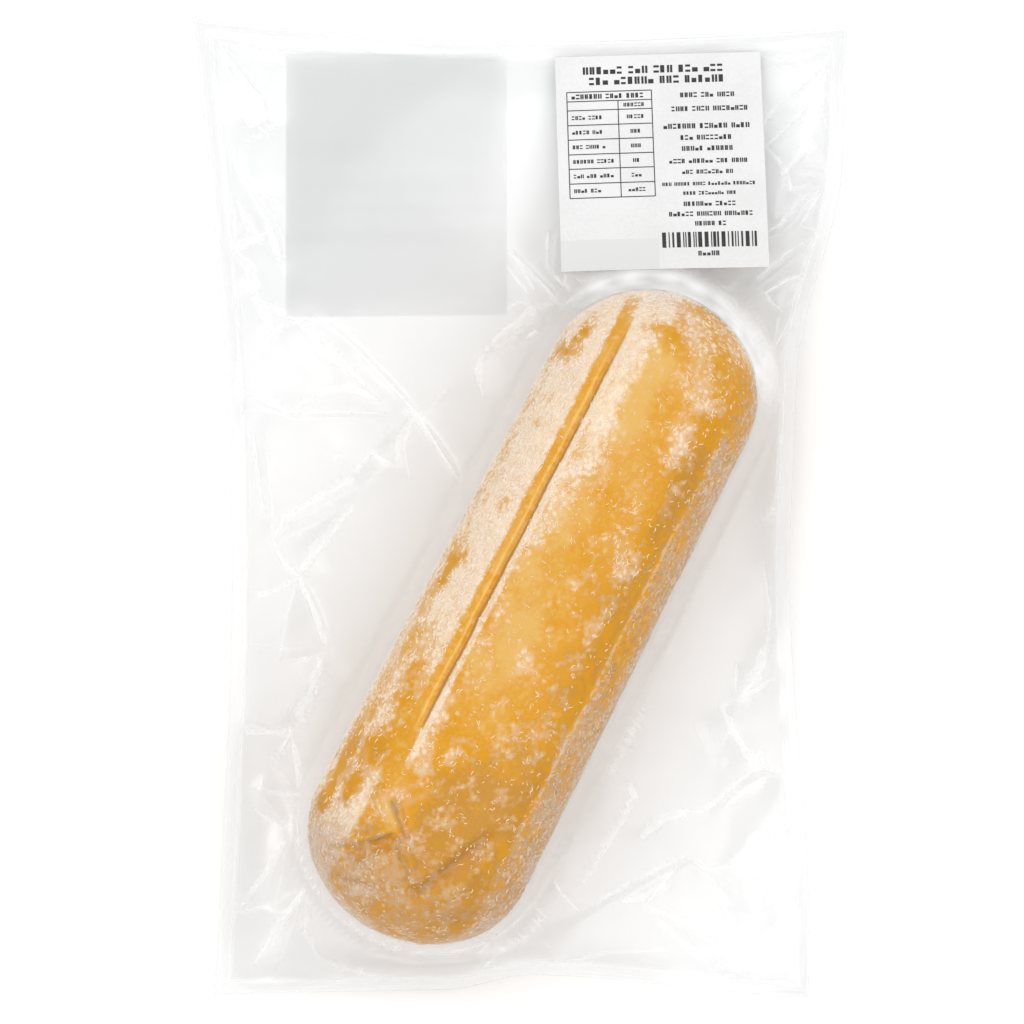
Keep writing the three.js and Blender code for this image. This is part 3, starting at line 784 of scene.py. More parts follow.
# Creases of the film beyond the log, region by region. Each has its rise in millimetres, positive for ridges
# and negative for furrows, and the pixels of the photograph that it passes through.
CREASES = {
    "top band": (
        (0.9, (233, 39), (257, 43), (288, 51), (317, 53), (341, 51), (362, 47)),
        (-0.8, (245, 46), (264, 58), (293, 62), (328, 60), (357, 55)),
        (0.8, (372, 51), (393, 55), (415, 61), (443, 63), (484, 61), (520, 51)),
        (0.9, (762, 53), (780, 57), (800, 54), (822, 45)), (-0.7, (768, 62), (790, 66), (812, 58)),
    ),
    "upper left corner": (
        (1.1, (214, 34), (231, 63), (244, 79), (260, 99), (266, 115)),
        (0.9, (266, 115), (255, 126), (235, 110)), (-1.0, (222, 42), (243, 68), (262, 90), (272, 110)),
        (-0.8, (226, 62), (233, 85), (250, 104)),
    ),
    "upper left edge": (
        (0.8, (234, 143), (233, 160), (237, 174)), (0.6, (243, 140), (262, 131), (281, 118)),
        (1.2, (242, 179), (262, 215), (276, 238), (280, 265)),
        (-1.0, (248, 178), (270, 210), (281, 234), (284, 262)), (0.7, (237, 174), (265, 195), (280, 201)),
        (0.8, (230, 192), (233, 219), (232, 250)), (0.9, (233, 192), (247, 224), (265, 242)),
        (-0.6, (236, 238), (243, 222), (248, 228), (238, 240)), (0.9, (231, 250), (251, 240), (264, 244)),
        (0.8, (231, 250), (256, 265)), (-0.9, (231, 250), (246, 271), (251, 295)),
        (0.9, (250, 272), (254, 283), (251, 295)),
    ),
    "upper left field": (
        (1.1, (250, 295), (285, 315), (322, 320)), (-1.0, (250, 295), (262, 322), (258, 346)),
        (0.9, (250, 295), (266, 305), (294, 317), (330, 350), (378, 400)),
        (-0.9, (300, 322), (340, 362), (384, 402)), (1.1, (322, 320), (352, 345), (390, 385), (416, 413)),
        (-0.8, (330, 318), (362, 347), (398, 384), (418, 408)),
        (1.0, (247, 393), (288, 413), (340, 412), (387, 414)),
        (-0.9, (258, 405), (296, 419), (345, 418), (392, 418)),
        (1.2, (288, 413), (318, 392), (350, 384), (378, 400)), (0.8, (258, 346), (276, 330), (294, 317)),
        (0.9, (288, 413), (268, 396), (247, 393)), (-0.9, (288, 413), (262, 408), (240, 408)),
        (1.2, (416, 413), (440, 450), (466, 492)), (-1.0, (420, 409), (446, 446), (470, 486)),
        (1.1, (416, 413), (397, 440), (397, 467)), (-1.2, (416, 413), (388, 434), (372, 453)),
        (1.0, (416, 413), (404, 446), (410, 480)), (-0.8, (416, 413), (436, 404), (452, 385)),
        (1.1, (351, 478), (372, 453), (397, 467)), (-1.0, (362, 488), (380, 470), (397, 467)),
        (1.2, (351, 478), (318, 496), (284, 518), (272, 543)),
        (-1.2, (362, 488), (330, 503), (300, 520), (272, 543)), (1.0, (331, 460), (339, 456), (347, 461)),
        (0.7, (252, 430), (256, 470), (264, 520)), (-0.6, (262, 432), (268, 474), (272, 520)),
    ),
    "left field": (
        (1.2, (356, 502), (322, 546), (299, 577)), (-1.2, (356, 502), (310, 528), (272, 543)),
        (1.0, (272, 543), (284, 562), (299, 577)), (1.2, (299, 577), (316, 612), (330, 651)),
        (-1.1, (305, 575), (324, 612), (334, 646)), (-1.1, (299, 577), (286, 620), (280, 661)),
        (0.8, (299, 577), (276, 590), (254, 596)), (1.0, (330, 651), (303, 658), (280, 661)),
        (-0.9, (330, 651), (290, 648), (251, 644)), (1.2, (328, 668), (312, 700), (293, 728)),
        (-1.1, (330, 651), (306, 690), (282, 722)), (1.0, (293, 728), (268, 731), (244, 733)),
        (-0.9, (293, 728), (268, 722), (247, 716)), (0.9, (293, 728), (284, 746), (274, 762)),
        (1.0, (293, 728), (298, 762), (303, 795)), (-0.9, (274, 762), (288, 780), (303, 795)),
        (0.8, (255, 787), (280, 790), (307, 792)),
    ),
    "lower left": (
        (1.0, (307, 792), (300, 812), (292, 830)), (-1.0, (257, 787), (276, 808), (292, 830)),
        (1.0, (292, 830), (272, 818), (254, 806)), (1.1, (292, 830), (266, 872), (237, 912)),
        (-1.1, (292, 830), (284, 868), (277, 903)), (1.1, (308, 884), (289, 909), (254, 964)),
        (-1.2, (308, 884), (296, 920), (275, 971)), (1.0, (308, 884), (306, 930), (320, 955)),
        (-0.9, (308, 884), (290, 892), (277, 903)), (0.8, (237, 912), (262, 906), (277, 903)),
        (0.8, (320, 955), (341, 966), (368, 972), (395, 974)), (-0.7, (330, 975), (362, 981), (395, 980)),
    ),
    "below the log": (
        (1.0, (476, 974), (492, 954), (509, 936)), (0.9, (509, 936), (520, 932), (530, 931)),
        (1.1, (530, 931), (540, 912), (544, 893)), (-1.1, (530, 931), (546, 940), (558, 950)),
        (1.1, (549, 870), (562, 890), (580, 909)), (0.8, (540, 962), (577, 957), (614, 948)),
    ),
    "lower right": (
        (1.0, (734, 702), (735, 682), (736, 662)), (1.1, (734, 702), (757, 688), (776, 677)),
        (-0.9, (734, 702), (752, 684), (765, 665)), (0.8, (734, 702), (726, 703), (718, 705)),
        (-1.0, (734, 702), (728, 732), (714, 760)), (1.1, (765, 769), (762, 759), (759, 749)),
        (1.0, (765, 769), (777, 772), (788, 776)), (1.1, (765, 769), (742, 779), (724, 797), (705, 812)),
        (-1.0, (765, 776), (742, 790), (722, 806)), (0.9, (705, 812), (680, 810), (654, 816)),
        (0.7, (634, 790), (610, 836), (582, 883)), (1.0, (629, 785), (634, 790), (638, 797)),
        (0.6, (605, 781), (626, 740), (646, 699)), (1.0, (763, 821), (776, 828), (788, 834)),
        (1.2, (707, 870), (736, 863), (772, 885)), (-1.1, (707, 870), (721, 897), (739, 951)),
        (1.1, (772, 885), (783, 926), (739, 951)), (1.0, (685, 856), (707, 870), (730, 868)),
        (1.1, (580, 909), (632, 880), (685, 856)), (-1.0, (584, 914), (634, 890), (688, 863)),
        (1.0, (645, 904), (664, 880), (685, 856)), (0.9, (645, 904), (692, 927), (739, 951)),
        (-0.9, (645, 904), (680, 938), (714, 973)), (1.0, (739, 951), (726, 962), (714, 973)),
        (1.0, (739, 951), (762, 962), (785, 968)), (0.7, (732, 977), (762, 979), (792, 981)),
    ),
    "right side": (
        (1.0, (804, 274), (784, 282), (763, 294)), (1.0, (763, 294), (770, 304), (782, 314)),
        (-1.0, (804, 274), (794, 294), (782, 314)), (0.9, (806, 294), (788, 322), (773, 348), (774, 366)),
        (0.8, (782, 496), (772, 510), (761, 525)), (0.6, (784, 400), (778, 440), (782, 496)),
        (0.7, (761, 560), (770, 610), (765, 665)),
    ),
    "upper right corner and edge": (
        (1.0, (833, 51), (810, 75), (792, 94)), (-0.9, (833, 51), (806, 86), (786, 104)),
        (1.1, (831, 56), (800, 115), (768, 145)), (-0.9, (828, 62), (806, 112), (774, 148)),
        (0.8, (781, 100), (768, 116), (764, 126)), (1.0, (829, 69), (824, 97), (828, 146)),
        (-0.8, (831, 69), (833, 108), (829, 146)), (1.1, (812, 131), (806, 144), (816, 152)),
        (1.0, (785, 171), (797, 157), (806, 144)), (0.9, (785, 171), (777, 158), (767, 146)),
        (-1.0, (783, 177), (776, 202), (777, 221)), (1.0, (789, 172), (791, 190), (814, 183)),
        (-1.0, (789, 172), (810, 162), (829, 168), (825, 184)),
        (1.2, (825, 184), (802, 198), (783, 223), (768, 233)),
        (-1.1, (826, 190), (806, 205), (788, 228), (770, 240)), (1.1, (823, 190), (810, 208), (800, 227)),
        (-1.0, (823, 190), (820, 210), (816, 230)), (1.0, (800, 227), (816, 230), (835, 230)),
        (1.1, (818, 232), (787, 253), (752, 284)), (-1.0, (818, 232), (792, 262), (752, 293)),
        (1.0, (810, 271), (785, 282), (764, 295)), (0.9, (810, 271), (802, 284), (793, 301)),
        (-0.9, (793, 301), (785, 306), (779, 297)),
    ),
    "between the labels and left of the log's upper end": (
        (1.0, (548, 230), (547, 253), (548, 270)), (-0.9, (553, 232), (551, 254), (552, 272)),
        (0.9, (548, 270), (559, 284), (577, 302)), (0.9, (509, 250), (529, 272), (549, 293), (560, 308)),
        (-0.8, (514, 250), (534, 271), (555, 292)), (0.7, (505, 266), (513, 277), (529, 297)),
        (1.2, (536, 311), (512, 329), (490, 347)), (-1.1, (538, 318), (514, 338), (493, 352)),
        (0.9, (536, 311), (520, 304), (505, 310)), (0.9, (536, 311), (548, 306), (560, 308)),
        (1.0, (490, 347), (480, 361), (476, 372), (484, 399)), (-0.9, (488, 356), (500, 354), (512, 350)),
        (0.8, (541, 332), (533, 334), (526, 339)), (0.8, (565, 274), (564, 284), (571, 294)),
        (0.9, (575, 280), (585, 289), (577, 301)),
    ),
}

# Painted glints: facets and folds of the film that catch the light, painted as white patches. Each has its
# half-width in millimetres, how white it is, and the pixels that its middle line passes through.
GLINTS = {
    "upper left corner and edge": (
        (1.3, 0.75, (232, 64), (243, 78), (256, 93)), (2.3, 0.95, (240, 108), (250, 116), (262, 112)),
        (1.5, 0.8, (264, 224), (272, 240), (277, 254)), (1.3, 0.9, (236, 246), (250, 239), (264, 232)),
        (1.9, 0.9, (250, 274), (254, 284)),
    ),
    "upper left field": (
        (2.2, 0.75, (262, 312), (270, 326), (264, 342)), (0.9, 0.6, (296, 320), (318, 346), (352, 376)),
        (1.5, 0.55, (318, 392), (350, 388), (374, 398)), (1.6, 0.8, (408, 412), (420, 418), (428, 432)),
        (1.3, 0.6, (400, 436), (398, 452), (402, 466)), (1.2, 0.65, (352, 480), (322, 496), (292, 516)),
    ),
    "left field": (
        (1.5, 0.7, (350, 508), (322, 540), (304, 568)), (1.4, 0.8, (302, 580), (314, 604), (326, 638)),
        (1.9, 0.8, (322, 662), (312, 690), (300, 714)), (1.3, 0.7, (286, 730), (266, 730), (248, 730)),
        (1.2, 0.7, (296, 742), (300, 764), (303, 788)),
    ),
    "lower left": (
        (1.6, 0.75, (302, 800), (296, 816), (290, 826)), (1.2, 0.7, (286, 840), (270, 866), (254, 888)),
        (1.6, 0.75, (304, 890), (288, 914), (270, 940)),
    ),
    "between the labels and left of the log's upper end": (
        (0.7, 0.7, (507, 130), (509, 165), (507, 195)), (1.0, 0.6, (512, 254), (524, 274), (534, 292)),
        (2.0, 0.9, (534, 314), (516, 328), (496, 344)), (1.0, 0.6, (488, 350), (480, 364), (480, 384)),
    ),
    "over the log's upper end": (
        (1.1, 0.5, (584, 320), (604, 301), (632, 288)),
        (0.7, 0.6, (600, 270), (638, 270), (668, 278), (700, 285), (732, 291)),
        (2.4, 0.75, (676, 284), (690, 291), (706, 303)),
        (1.6, 0.8, (566, 310), (590, 292), (622, 276), (660, 272)),
        (0.8, 0.95, (664, 279), (672, 274), (694, 284)), (1.8, 0.6, (712, 298), (730, 312), (744, 334)),
    ),
    "beside the log's upper end": (
        (0.8, 0.5, (744, 332), (753, 354), (758, 384)), (0.9, 0.5, (777, 320), (772, 350), (776, 380)),
    ),
    "upper right corner and edge": (
        (1.4, 0.7, (828, 76), (826, 104), (829, 134)), (1.9, 0.85, (808, 136), (812, 148)),
        (1.5, 0.8, (784, 172), (796, 160), (806, 148)), (1.5, 0.6, (800, 172), (818, 174), (824, 180)),
        (1.2, 0.7, (820, 190), (800, 204), (778, 228)), (1.6, 0.6, (818, 200), (808, 218), (812, 226)),
        (1.0, 0.6, (812, 238), (786, 256), (758, 280)), (1.4, 0.6, (796, 282), (782, 292), (778, 304)),
    ),
    "right side": (
        (2.6, 0.75, (744, 694), (756, 672), (762, 654)), (1.6, 0.9, (722, 708), (734, 734), (758, 768)),
        (2.4, 0.45, (700, 724), (708, 744), (724, 762)), (1.0, 0.8, (764, 782), (738, 796), (706, 806)),
        (1.7, 0.85, (682, 812), (660, 820), (644, 834)), (1.4, 0.9, (629, 784), (634, 794)),
        (0.5, 0.7, (632, 802), (608, 842), (583, 881)),
    ),
    "lower right": (
        (1.6, 0.8, (624, 900), (644, 894), (662, 884)), (1.9, 0.6, (738, 862), (752, 842), (772, 828)),
        (5.0, 0.25, (738, 880), (758, 900)), (1.4, 0.9, (720, 892), (728, 916), (740, 942)),
        (0.8, 0.6, (580, 956), (620, 949), (664, 950)), (1.1, 0.6, (734, 972), (760, 966), (786, 970)),
    ),
}

# Creases of the film on the log itself, in the same terms as those beyond it.
LOG_CREASES = {
    "upper end": (
        (1.1, (671, 279), (682, 302), (700, 341)), (0.9, (671, 279), (660, 291), (642, 305)),
        (0.35, (671, 279), (672, 296), (664, 312)),
    ),
    "middle": (
        (0.3, (660, 526), (664, 510), (672, 493)),
    ),
    "lower end": (
        (0.45, (362, 742), (364, 770), (368, 797)), (0.5, (322, 884), (352, 886), (380, 893)),
        (0.35, (330, 893), (356, 893), (382, 895)), (0.4, (372, 800), (400, 790), (425, 780)),
        (0.35, (380, 812), (410, 800), (440, 786)), (0.5, (400, 815), (415, 845), (436, 862)),
    ),
    "right of the upper end": (
        (0.3, (744, 345), (735, 360), (730, 390)),
    ),
}


class Pouch:
    """The pouch's outline and skirt, in millimetres."""

    left_bow = 8.5  # how far each edge is drawn in by the log
    right_bow = 11.8
    top_bow = 5.7
    bottom_bow = 2.4
    buckle = 5.2  # extra draw-in where the lower edge buckles upwards
    buckle_span = (0.39, 0.53, 0.52, 0.97)  # shares of the lower edge: sets in, full, fades, ends
    buckle_lift = 6
    buckle_reach = 38  # how far the buckle runs in from the edge
    edge_share = 0.5  # share of the slope's height that is left at an edge close to the log
    lower_edge_share = 0.2  # and at the lower edge, which nearly reaches the table
    reach = 80  # distance from the log at which the slope has run out
    sag = 1.3  # power of the slope's curve; 1 is straight
    droop = 1.5  # of the corners
    droop_reach = 45
    ripple = 0.9
    welded_gap = 0.16  # between the films in the seal
    web_round = 0.9  # rounding of the corner where the log's wall meets the skirt
    # The film's white rim line is a painted highlight.
    rim_line_off = 0.7  # how far inside the foot of the log's wall the film's white rim line runs
    rim_line_width = 0.55
    bridging = 0.45  # share of a score's depth that the film spans
    crease_margin = 1.1  # how far from a crease the mesh is cut finer
    crease_cuts = 4
    crease_start = 2  # how far outside the seal's inner border that starts
    rim_band = 6.2  # width of the band along the edges in which the mesh is finer
    crowd_from = 0.62  # share of the way out to the log's widest line where the mesh starts to be finer
    crowd_beyond = 16  # and how far beyond that line it ends
    # How far each corner lies inside the pouch's box.
    corner_insets = {"ul": (0, 0), "ur": (0, 2.5), "lr": (11.9, 0), "ll": (6.4, 0.7)}

    def __init__(self, settings, log):
        self.log = log
        for name in ("web", "tent", "grip", "seal", "gap", "edge_height"):
            setattr(self, name, getattr(settings, name) / MM)
        low, high = POUCH_LOW / MM, POUCH_HIGH / MM
        inset = self.corner_insets
        self.ul = (low.x + inset["ul"][0], high.y - inset["ul"][1])
        self.ur = (high.x - inset["ur"][0], high.y - inset["ur"][1])
        self.lr = (high.x - inset["lr"][0], low.y + inset["lr"][1])
        self.ll = (low.x + inset["ll"][0], low.y + inset["ll"][1])

    def left_edge(self, y):
        k = (self.ul[1] - y) / (self.ul[1] - self.ll[1])
        return lerp(self.ul[0], self.ll[0], k) + self.left_bow * np.sin(np.pi * np.clip(k, 0, 1))

    def right_edge(self, y):
        k = (self.ur[1] - y) / (self.ur[1] - self.lr[1])
        gathering = smoothstep(0.14, 0.36, k)
        easing = 0.5 * (1 + np.cos(np.pi * np.clip(2 * k - 1, 0, 1)))
        return lerp(self.ur[0], self.lr[0], k) - self.right_bow * gathering * easing

    def top_edge(self, x):
        k = (x - self.ul[0]) / (self.ur[0] - self.ul[0])
        return lerp(self.ul[1], self.ur[1], k) - self.top_bow * np.sin(np.pi * np.clip(k, 0, 1))

    def buckle_at(self, x):
        k = (x - self.ll[0]) / (self.lr[0] - self.ll[0])
        return band(k, *self.buckle_span)

    def bottom_edge(self, x):
        k = (x - self.ll[0]) / (self.lr[0] - self.ll[0])
        bow = self.bottom_bow * np.sin(np.pi * np.clip(k, 0, 1))
        return lerp(self.ll[1], self.lr[1], k) + bow + self.buckle * self.buckle_at(x)

    def from_edge(self, x, y):
        """Distance inwards from the nearest edge."""
        left, right = x - self.left_edge(y), self.right_edge(y) - x
        return np.minimum.reduce((left, right, self.top_edge(x) - y, y - self.bottom_edge(x)))

    def unsealed(self, x, y):
        """0 in the welded band and 1 inside it."""
        return smoothstep(self.seal - 3, self.seal + 1.5, self.from_edge(x, y))

    def crowd(self, k, length):
        """Draws the shares near 0 and 1 towards the edges, so that the welded band gets more of them."""
        band = self.rim_band / length
        shares = 2.6 * band
        return np.interp(k, (0, shares, 1 - shares, 1), (0, band, 1 - band, 1))

    def spread(self, u, v):
        """Points over the outline, for u and v from 0 to 1 across and along the pouch."""
        u = self.crowd(u, self.ur[0] - self.ul[0])
        v = self.crowd(v, self.ul[1] - self.ll[1])
        x = lerp(self.ll[0], self.ur[0], u)
        y = lerp(self.ll[1], self.ul[1], v)
        for _ in range(8):
            x = lerp(self.left_edge(y), self.right_edge(y), u)
            y = lerp(self.bottom_edge(x), self.top_edge(x), v)
        return x, y

    def edge_on_ray(self, station, heading):
        """How far from the spine each ray leaves the pouch, by halving."""
        inside = np.zeros_like(station)
        outside = np.full_like(station, self.ul[1] - self.ll[1])
        for _ in range(24):
            middle = (inside + outside) / 2
            held = self.from_edge(*self.log.on_ray(station, middle, heading)) > 0
            inside = np.where(held, middle, inside)
            outside = np.where(held, outside, middle)
        return inside

    def skirt(self, x, y, distance, waist, edge):
        """Height of the middle of the two films beyond the log."""
        meets = waist + self.tent
        away = np.maximum(distance - meets, 0)
        part = np.clip(away / (edge - meets), 0, 1)
        left = lerp(self.lower_edge_share, self.edge_share, smoothstep(self.ll[1], self.ll[1] + 50, y))
        slope = (1 - np.minimum(1, away / self.reach)) ** self.sag * (1 - (1 - left) * part**2)
        corners = (self.ul, self.ur, self.lr, self.ll)
        nearest = np.minimum.reduce([np.hypot(x - c[0], y - c[1]) for c in corners])
        droop = self.droop * (1 - smoothstep(0, self.droop_reach, nearest))
        lift = self.buckle_lift * self.buckle_at(x)
        lift *= 1 - smoothstep(0, self.buckle_reach, y - self.bottom_edge(x))
        wave = np.sin(x / 15 + 0.8) * np.sin(y / 21 - 0.5) * smoothstep(4, 30, away) * (1 - 0.6 * part)
        return self.edge_height + (self.web - self.edge_height) * slope - droop + lift + self.ripple * wave


# --- creases


def traced(regions, numbers, height):
    """Each line of a table of pixels: its leading numbers, and its path in millimetres at a height."""
    for line in sum(regions.values(), ()):
        yield (*line[:numbers], [photo_point(pixel, height) for pixel in line[numbers:]])


class Creases:
    """Relief of the film, in millimetres: flat facets between creases, and the sharp creases themselves."""

    filler_step = 11  # between the points that fill the fields without named creases
    filler_rise = 0.45
    filler_shake = 0.38  # share of the step by which each of them is moved
    filler_clearance = 6.5  # from the named creases
    crease_width = 1.0
    sharpness = 0.1  # share of a crease's rise that stands as a sharp ridge
    table_step = 0.8
    softening = 1
    film_height = 9  # about where the skirt's creases lie

    def __init__(self, pouch, seed=5):
        self.pouch = pouch
        draw = random.Random(seed)
        points, rises, edges = [], [], []
        self.lines = list(traced(CREASES, 1, self.film_height))
        self.glints = list(traced(GLINTS, 2, self.film_height))
        for rise, line in self.lines:
            for i, point in enumerate(line):
                points.append(Vector(point))
                rises.append(rise * draw.uniform(0.6, 1.1))
                if i:
                    edges.append((len(points) - 2, len(points) - 1))
        named = len(points)
        for point in self.filler(draw):
            if all((point - other).length > self.filler_clearance for other in points[:named]):
                points.append(point)
                rises.append(draw.gauss(0, self.filler_rise))
        made, _, faces, origins, _, _ = delaunay_2d_cdt(points, edges, [], 0, 0.4)
        heights = [sum(rises[k] for k in came) / len(came) if came else 0.0 for came in origins]
        corners = [(p.x, p.y, h) for p, h in zip(made, heights)]
        self.table = self.facet_table(BVHTree.FromPolygons(corners, faces))

    def facet_table(self, tree):
        """The facets' heights on an even lattice, a little softened."""
        self.low = POUCH_LOW.xy / MM
        columns, rows = (int(side / self.table_step) + 2 for side in (POUCH_HIGH - POUCH_LOW).xy / MM)
        down = Vector((0, 0, -1))
        table = np.zeros((rows, columns))
        for r in range(rows):
            for c in range(columns):
                above = Vector((self.low.x + c * self.table_step, self.low.y + r * self.table_step, 50))
                hit = tree.ray_cast(above, down)[0]
                table[r, c] = hit.z if hit else 0.0
        return soften(table, self.softening)

    def filler(self, draw):
        """Seeded points over the whole pouch, a step apart and shaken."""
        step, shake = self.filler_step, self.filler_shake
        columns = int(2 * POUCH_HIGH.x / MM / step) + 3
        rows = int(2 * POUCH_HIGH.y / MM / step) + 3
        for i in range(columns):
            for j in range(rows):
                x = POUCH_LOW.x / MM + (i - 0.5 + draw.uniform(-shake, shake)) * step
                y = POUCH_LOW.y / MM + (j - 0.5 + draw.uniform(-shake, shake)) * step
                yield Vector((x, y))

    def facets(self, x, y):
        """Heights of the facets at points, between the table's lattice points."""
        column = np.clip((x - self.low.x) / self.table_step, 0, self.table.shape[1] - 1.001)
        row = np.clip((y - self.low.y) / self.table_step, 0, self.table.shape[0] - 1.001)
        c, r = column.astype(int), row.astype(int)
        table = self.table
        lower = lerp(table[r, c], table[r, c + 1], column - c)
        upper = lerp(table[r + 1, c], table[r + 1, c + 1], column - c)
        return lerp(lower, upper, row - r)

    def painted_glints(self, x, y):
        """How much painted glint whitens the creases and the glints, 0 to 1."""
        lines = [(0.9 if rise > 0 else 0.4, line) for rise, line in self.lines]
        white = crease_lines(x, y, lines, 0.55)
        flat = np.column_stack((x, y, np.zeros_like(x)))
        ragged = noise_at(flat, 4.0, 31.0)
        white *= 0.8 + 0.5 * ragged
        for half_width, amount, line in self.glints:
            off = path_distance(x, y, line) / half_width + 0.7 * ragged
            white = np.maximum(white, amount * (1 - smoothstep(0.5, 1.0, off)) * (0.85 + 0.3 * ragged))
        return np.clip(white, 0, 1)

    def nearest(self, x, y):
        """Distance from the nearest named crease or glint."""
        closest = np.full(len(x), 1e9)
        for _, line in self.lines:
            closest = np.minimum(closest, path_distance(x, y, line))
        for half_width, _, line in self.glints:
            closest = np.minimum(closest, path_distance(x, y, line) - 0.8 * half_width)
        return closest

    def ridges(self, x, y):
        """Sharp ridges and furrows along the named creases."""
        return crease_lines(x, y, self.lines, self.crease_width) * self.sharpness


def crease_lines(x, y, lines, width):
    """Sum of narrow ridges along lines, thinning out at both ends."""
    total = np.zeros_like(x)
    for rise, line in lines:
        lengths = [math.dist(a, b) for a, b in zip(line, line[1:])]
        whole = sum(lengths)
        passed = 0.0
        ridge = np.zeros_like(x)
        for start, end, length in zip(line, line[1:], lengths):
            off, along = line_distance(x, y, start, end)
            place = (passed + along * length) / whole
            thin = 0.35 + 0.65 * np.sin(np.pi * np.clip(place, 0, 1)) ** 0.5
            ridge = np.maximum(ridge, np.exp(-((off / (width * thin)) ** 2)) * thin)
            passed += length
        total += rise * ridge
    return total


# --- where the labels lie

LABELS = {
    "printed_label": {"centre": (42.8, 105.2), "size": (62.8, 66.6), "turn": 1.6},
    "blank_label": {"centre": (-37.9, 98.6), "size": (67.6, 80.6), "turn": 0.0},
}


def inside_label(label, x, y):
    """Distance inwards from a label's nearest edge; negative beyond it."""
    turn = math.radians(label["turn"])
    dx, dy = x - label["centre"][0], y - label["centre"][1]
    u = dx * math.cos(turn) + dy * math.sin(turn)
    v = dy * math.cos(turn) - dx * math.sin(turn)
    return np.minimum(label["size"][0] / 2 - np.abs(u), label["size"][1] / 2 - np.abs(v))


# --- the pouch's film


def add_sheet(columns, rows, wide, long, centre=(0, 0), turn=0.0):
    """A flat grid. Gives the object, each point's column and each point's row."""
    deselect_all()
    bpy.ops.mesh.primitive_grid_add(x_subdivisions=columns, y_subdivisions=rows, size=MM, calc_uvs=True)
    obj = bpy.context.object
    points = points_of(obj.data)
    column = np.rint((points[:, 0] + 0.5) * columns).astype(int)
    row = np.rint((points[:, 1] + 0.5) * rows).astype(int)
    obj.scale = (wide, long, 1)
    obj.rotation_euler = (0, 0, turn)
    obj.location = (centre[0] * MM, centre[1] * MM, 0)
    bpy.ops.object.transform_apply(location=True, rotation=True, scale=True)
    return obj, column, row


def film_profile(log, pouch, distance, waist):
    """Height of the upper film across the log's wall and out to the web line, without any relief."""
    reach = np.clip(distance / waist, 0, 1)
    over = log.waist + log.crown * (1 - reach**log.crown_power) ** (1 / log.crown_power)
    falling = lerp(log.waist, pouch.web, np.clip((distance - waist) / pouch.tent, 0, 1))
    return np.where(distance < waist, over, falling)


def even_walls(log, pouch, x, y):
    """Crowds the sheet's points where the film is steep, round the log, so that the walls get enough."""
    station, distance, heading, waist = log.rays(x, y)
    edge = pouch.edge_on_ray(station, heading)
    inner = pouch.crowd_from * waist
    outer = waist + np.minimum(pouch.crowd_beyond, 0.9 * (edge - waist))
    profile = np.linspace(0, 1, 400)
    d = lerp(pouch.crowd_from * log.half_width, log.half_width + pouch.crowd_beyond, profile)
    steepness = np.gradient(film_profile(log, pouch, d, log.half_width), d)
    steps = (1 + steepness**2) ** 0.4
    travelled = np.concatenate(([0], np.cumsum((steps[1:] + steps[:-1]) / 2)))
    travelled /= travelled[-1]
    part = np.clip((distance - inner) / (outer - inner), 0, 1)
    even = np.interp(part, travelled, profile)
    moved = (distance > inner) & (distance < outer)
    distance = np.where(moved, lerp(inner, outer, even), distance)
    x, y = log.on_ray(station, distance, heading)
    return x, y, distance, waist, edge


def soften(table, passes):
    """Blurs a table of numbers with its neighbours."""
    for _ in range(passes):
        for axis in (0, 1):
            padded = np.pad(table, [(1, 1) if a == axis else (0, 0) for a in (0, 1)], mode="edge")
            before = padded[:-2] if axis == 0 else padded[:, :-2]
            after = padded[2:] if axis == 0 else padded[:, 2:]
            table = 0.25 * before + 0.5 * table + 0.25 * after
    return table


def blur_grid(values, column, row, passes):
    """Softens numbers stored on a sheet's points with their neighbours."""
    table = np.zeros((row.max() + 1, column.max() + 1))
    table[row, column] = values
    return soften(table, passes)[row, column]


def skirt_relief(pouch, creases, x, y, beyond):
    """Facets and creases of the skirt, faded at the log, in the seal and under the labels."""
    fade = smoothstep(0, 4, beyond) * pouch.unsealed(x, y)
    for label in LABELS.values():
        fade *= 1 - 0.9 * smoothstep(-1, 3, inside_label(label, x, y))
    return creases.facets(x, y) * fade, creases.ridges(x, y) * fade


# Fine lines along the welded band: distance from the edge in millimetres, and share of light scattered.
SEAL_LINES = ((0.3, 0.12), (1.7, 0.06), (4.2, 0.12), (5.3, 0.16))


def film_gap(pouch, x, y):
    """Height between the two films, which is small in the welded band."""
    opened = smoothstep(pouch.seal - 1, pouch.seal + 4, pouch.from_edge(x, y))
    return lerp(pouch.welded_gap, pouch.gap, opened)


def round_corner(one, other, radius):
    """The higher of two heights, with the corner between them rounded."""
    return 0.5 * (one + other + np.sqrt((one - other) ** 2 + radius**2))


def painted_rim_light(pouch, points, along, beyond):
    """Painted light on the film that stands round the log, most at the upper end, and a painted highlight
    along the
    line where it turns into the skirt: broken, but strong round the lower end."""
    # Painted highlight along the rim line.
    line = np.exp(-(((beyond + pouch.rim_line_off) / pouch.rim_line_width) ** 2))
    broken = smoothstep(0.0, 0.5, noise_at(points, 13, 41.0) + 0.15)
    line *= np.maximum(0.55 * broken, 0.9 * ramp("lower end dulls", along))
    upper_end = smoothstep(84, 98, along)
    # A veil of painted light that lifts the shade on the film round the log, most at its upper end.
    veil = band(beyond, -5.0, -3.5, 0, 3 + 3 * upper_end)
    veil *= lerp(0.4, 1.7, upper_end) * (0.9 + 0.35 * noise_at(points, 6.0, 42.0))
    return np.maximum(line, veil)


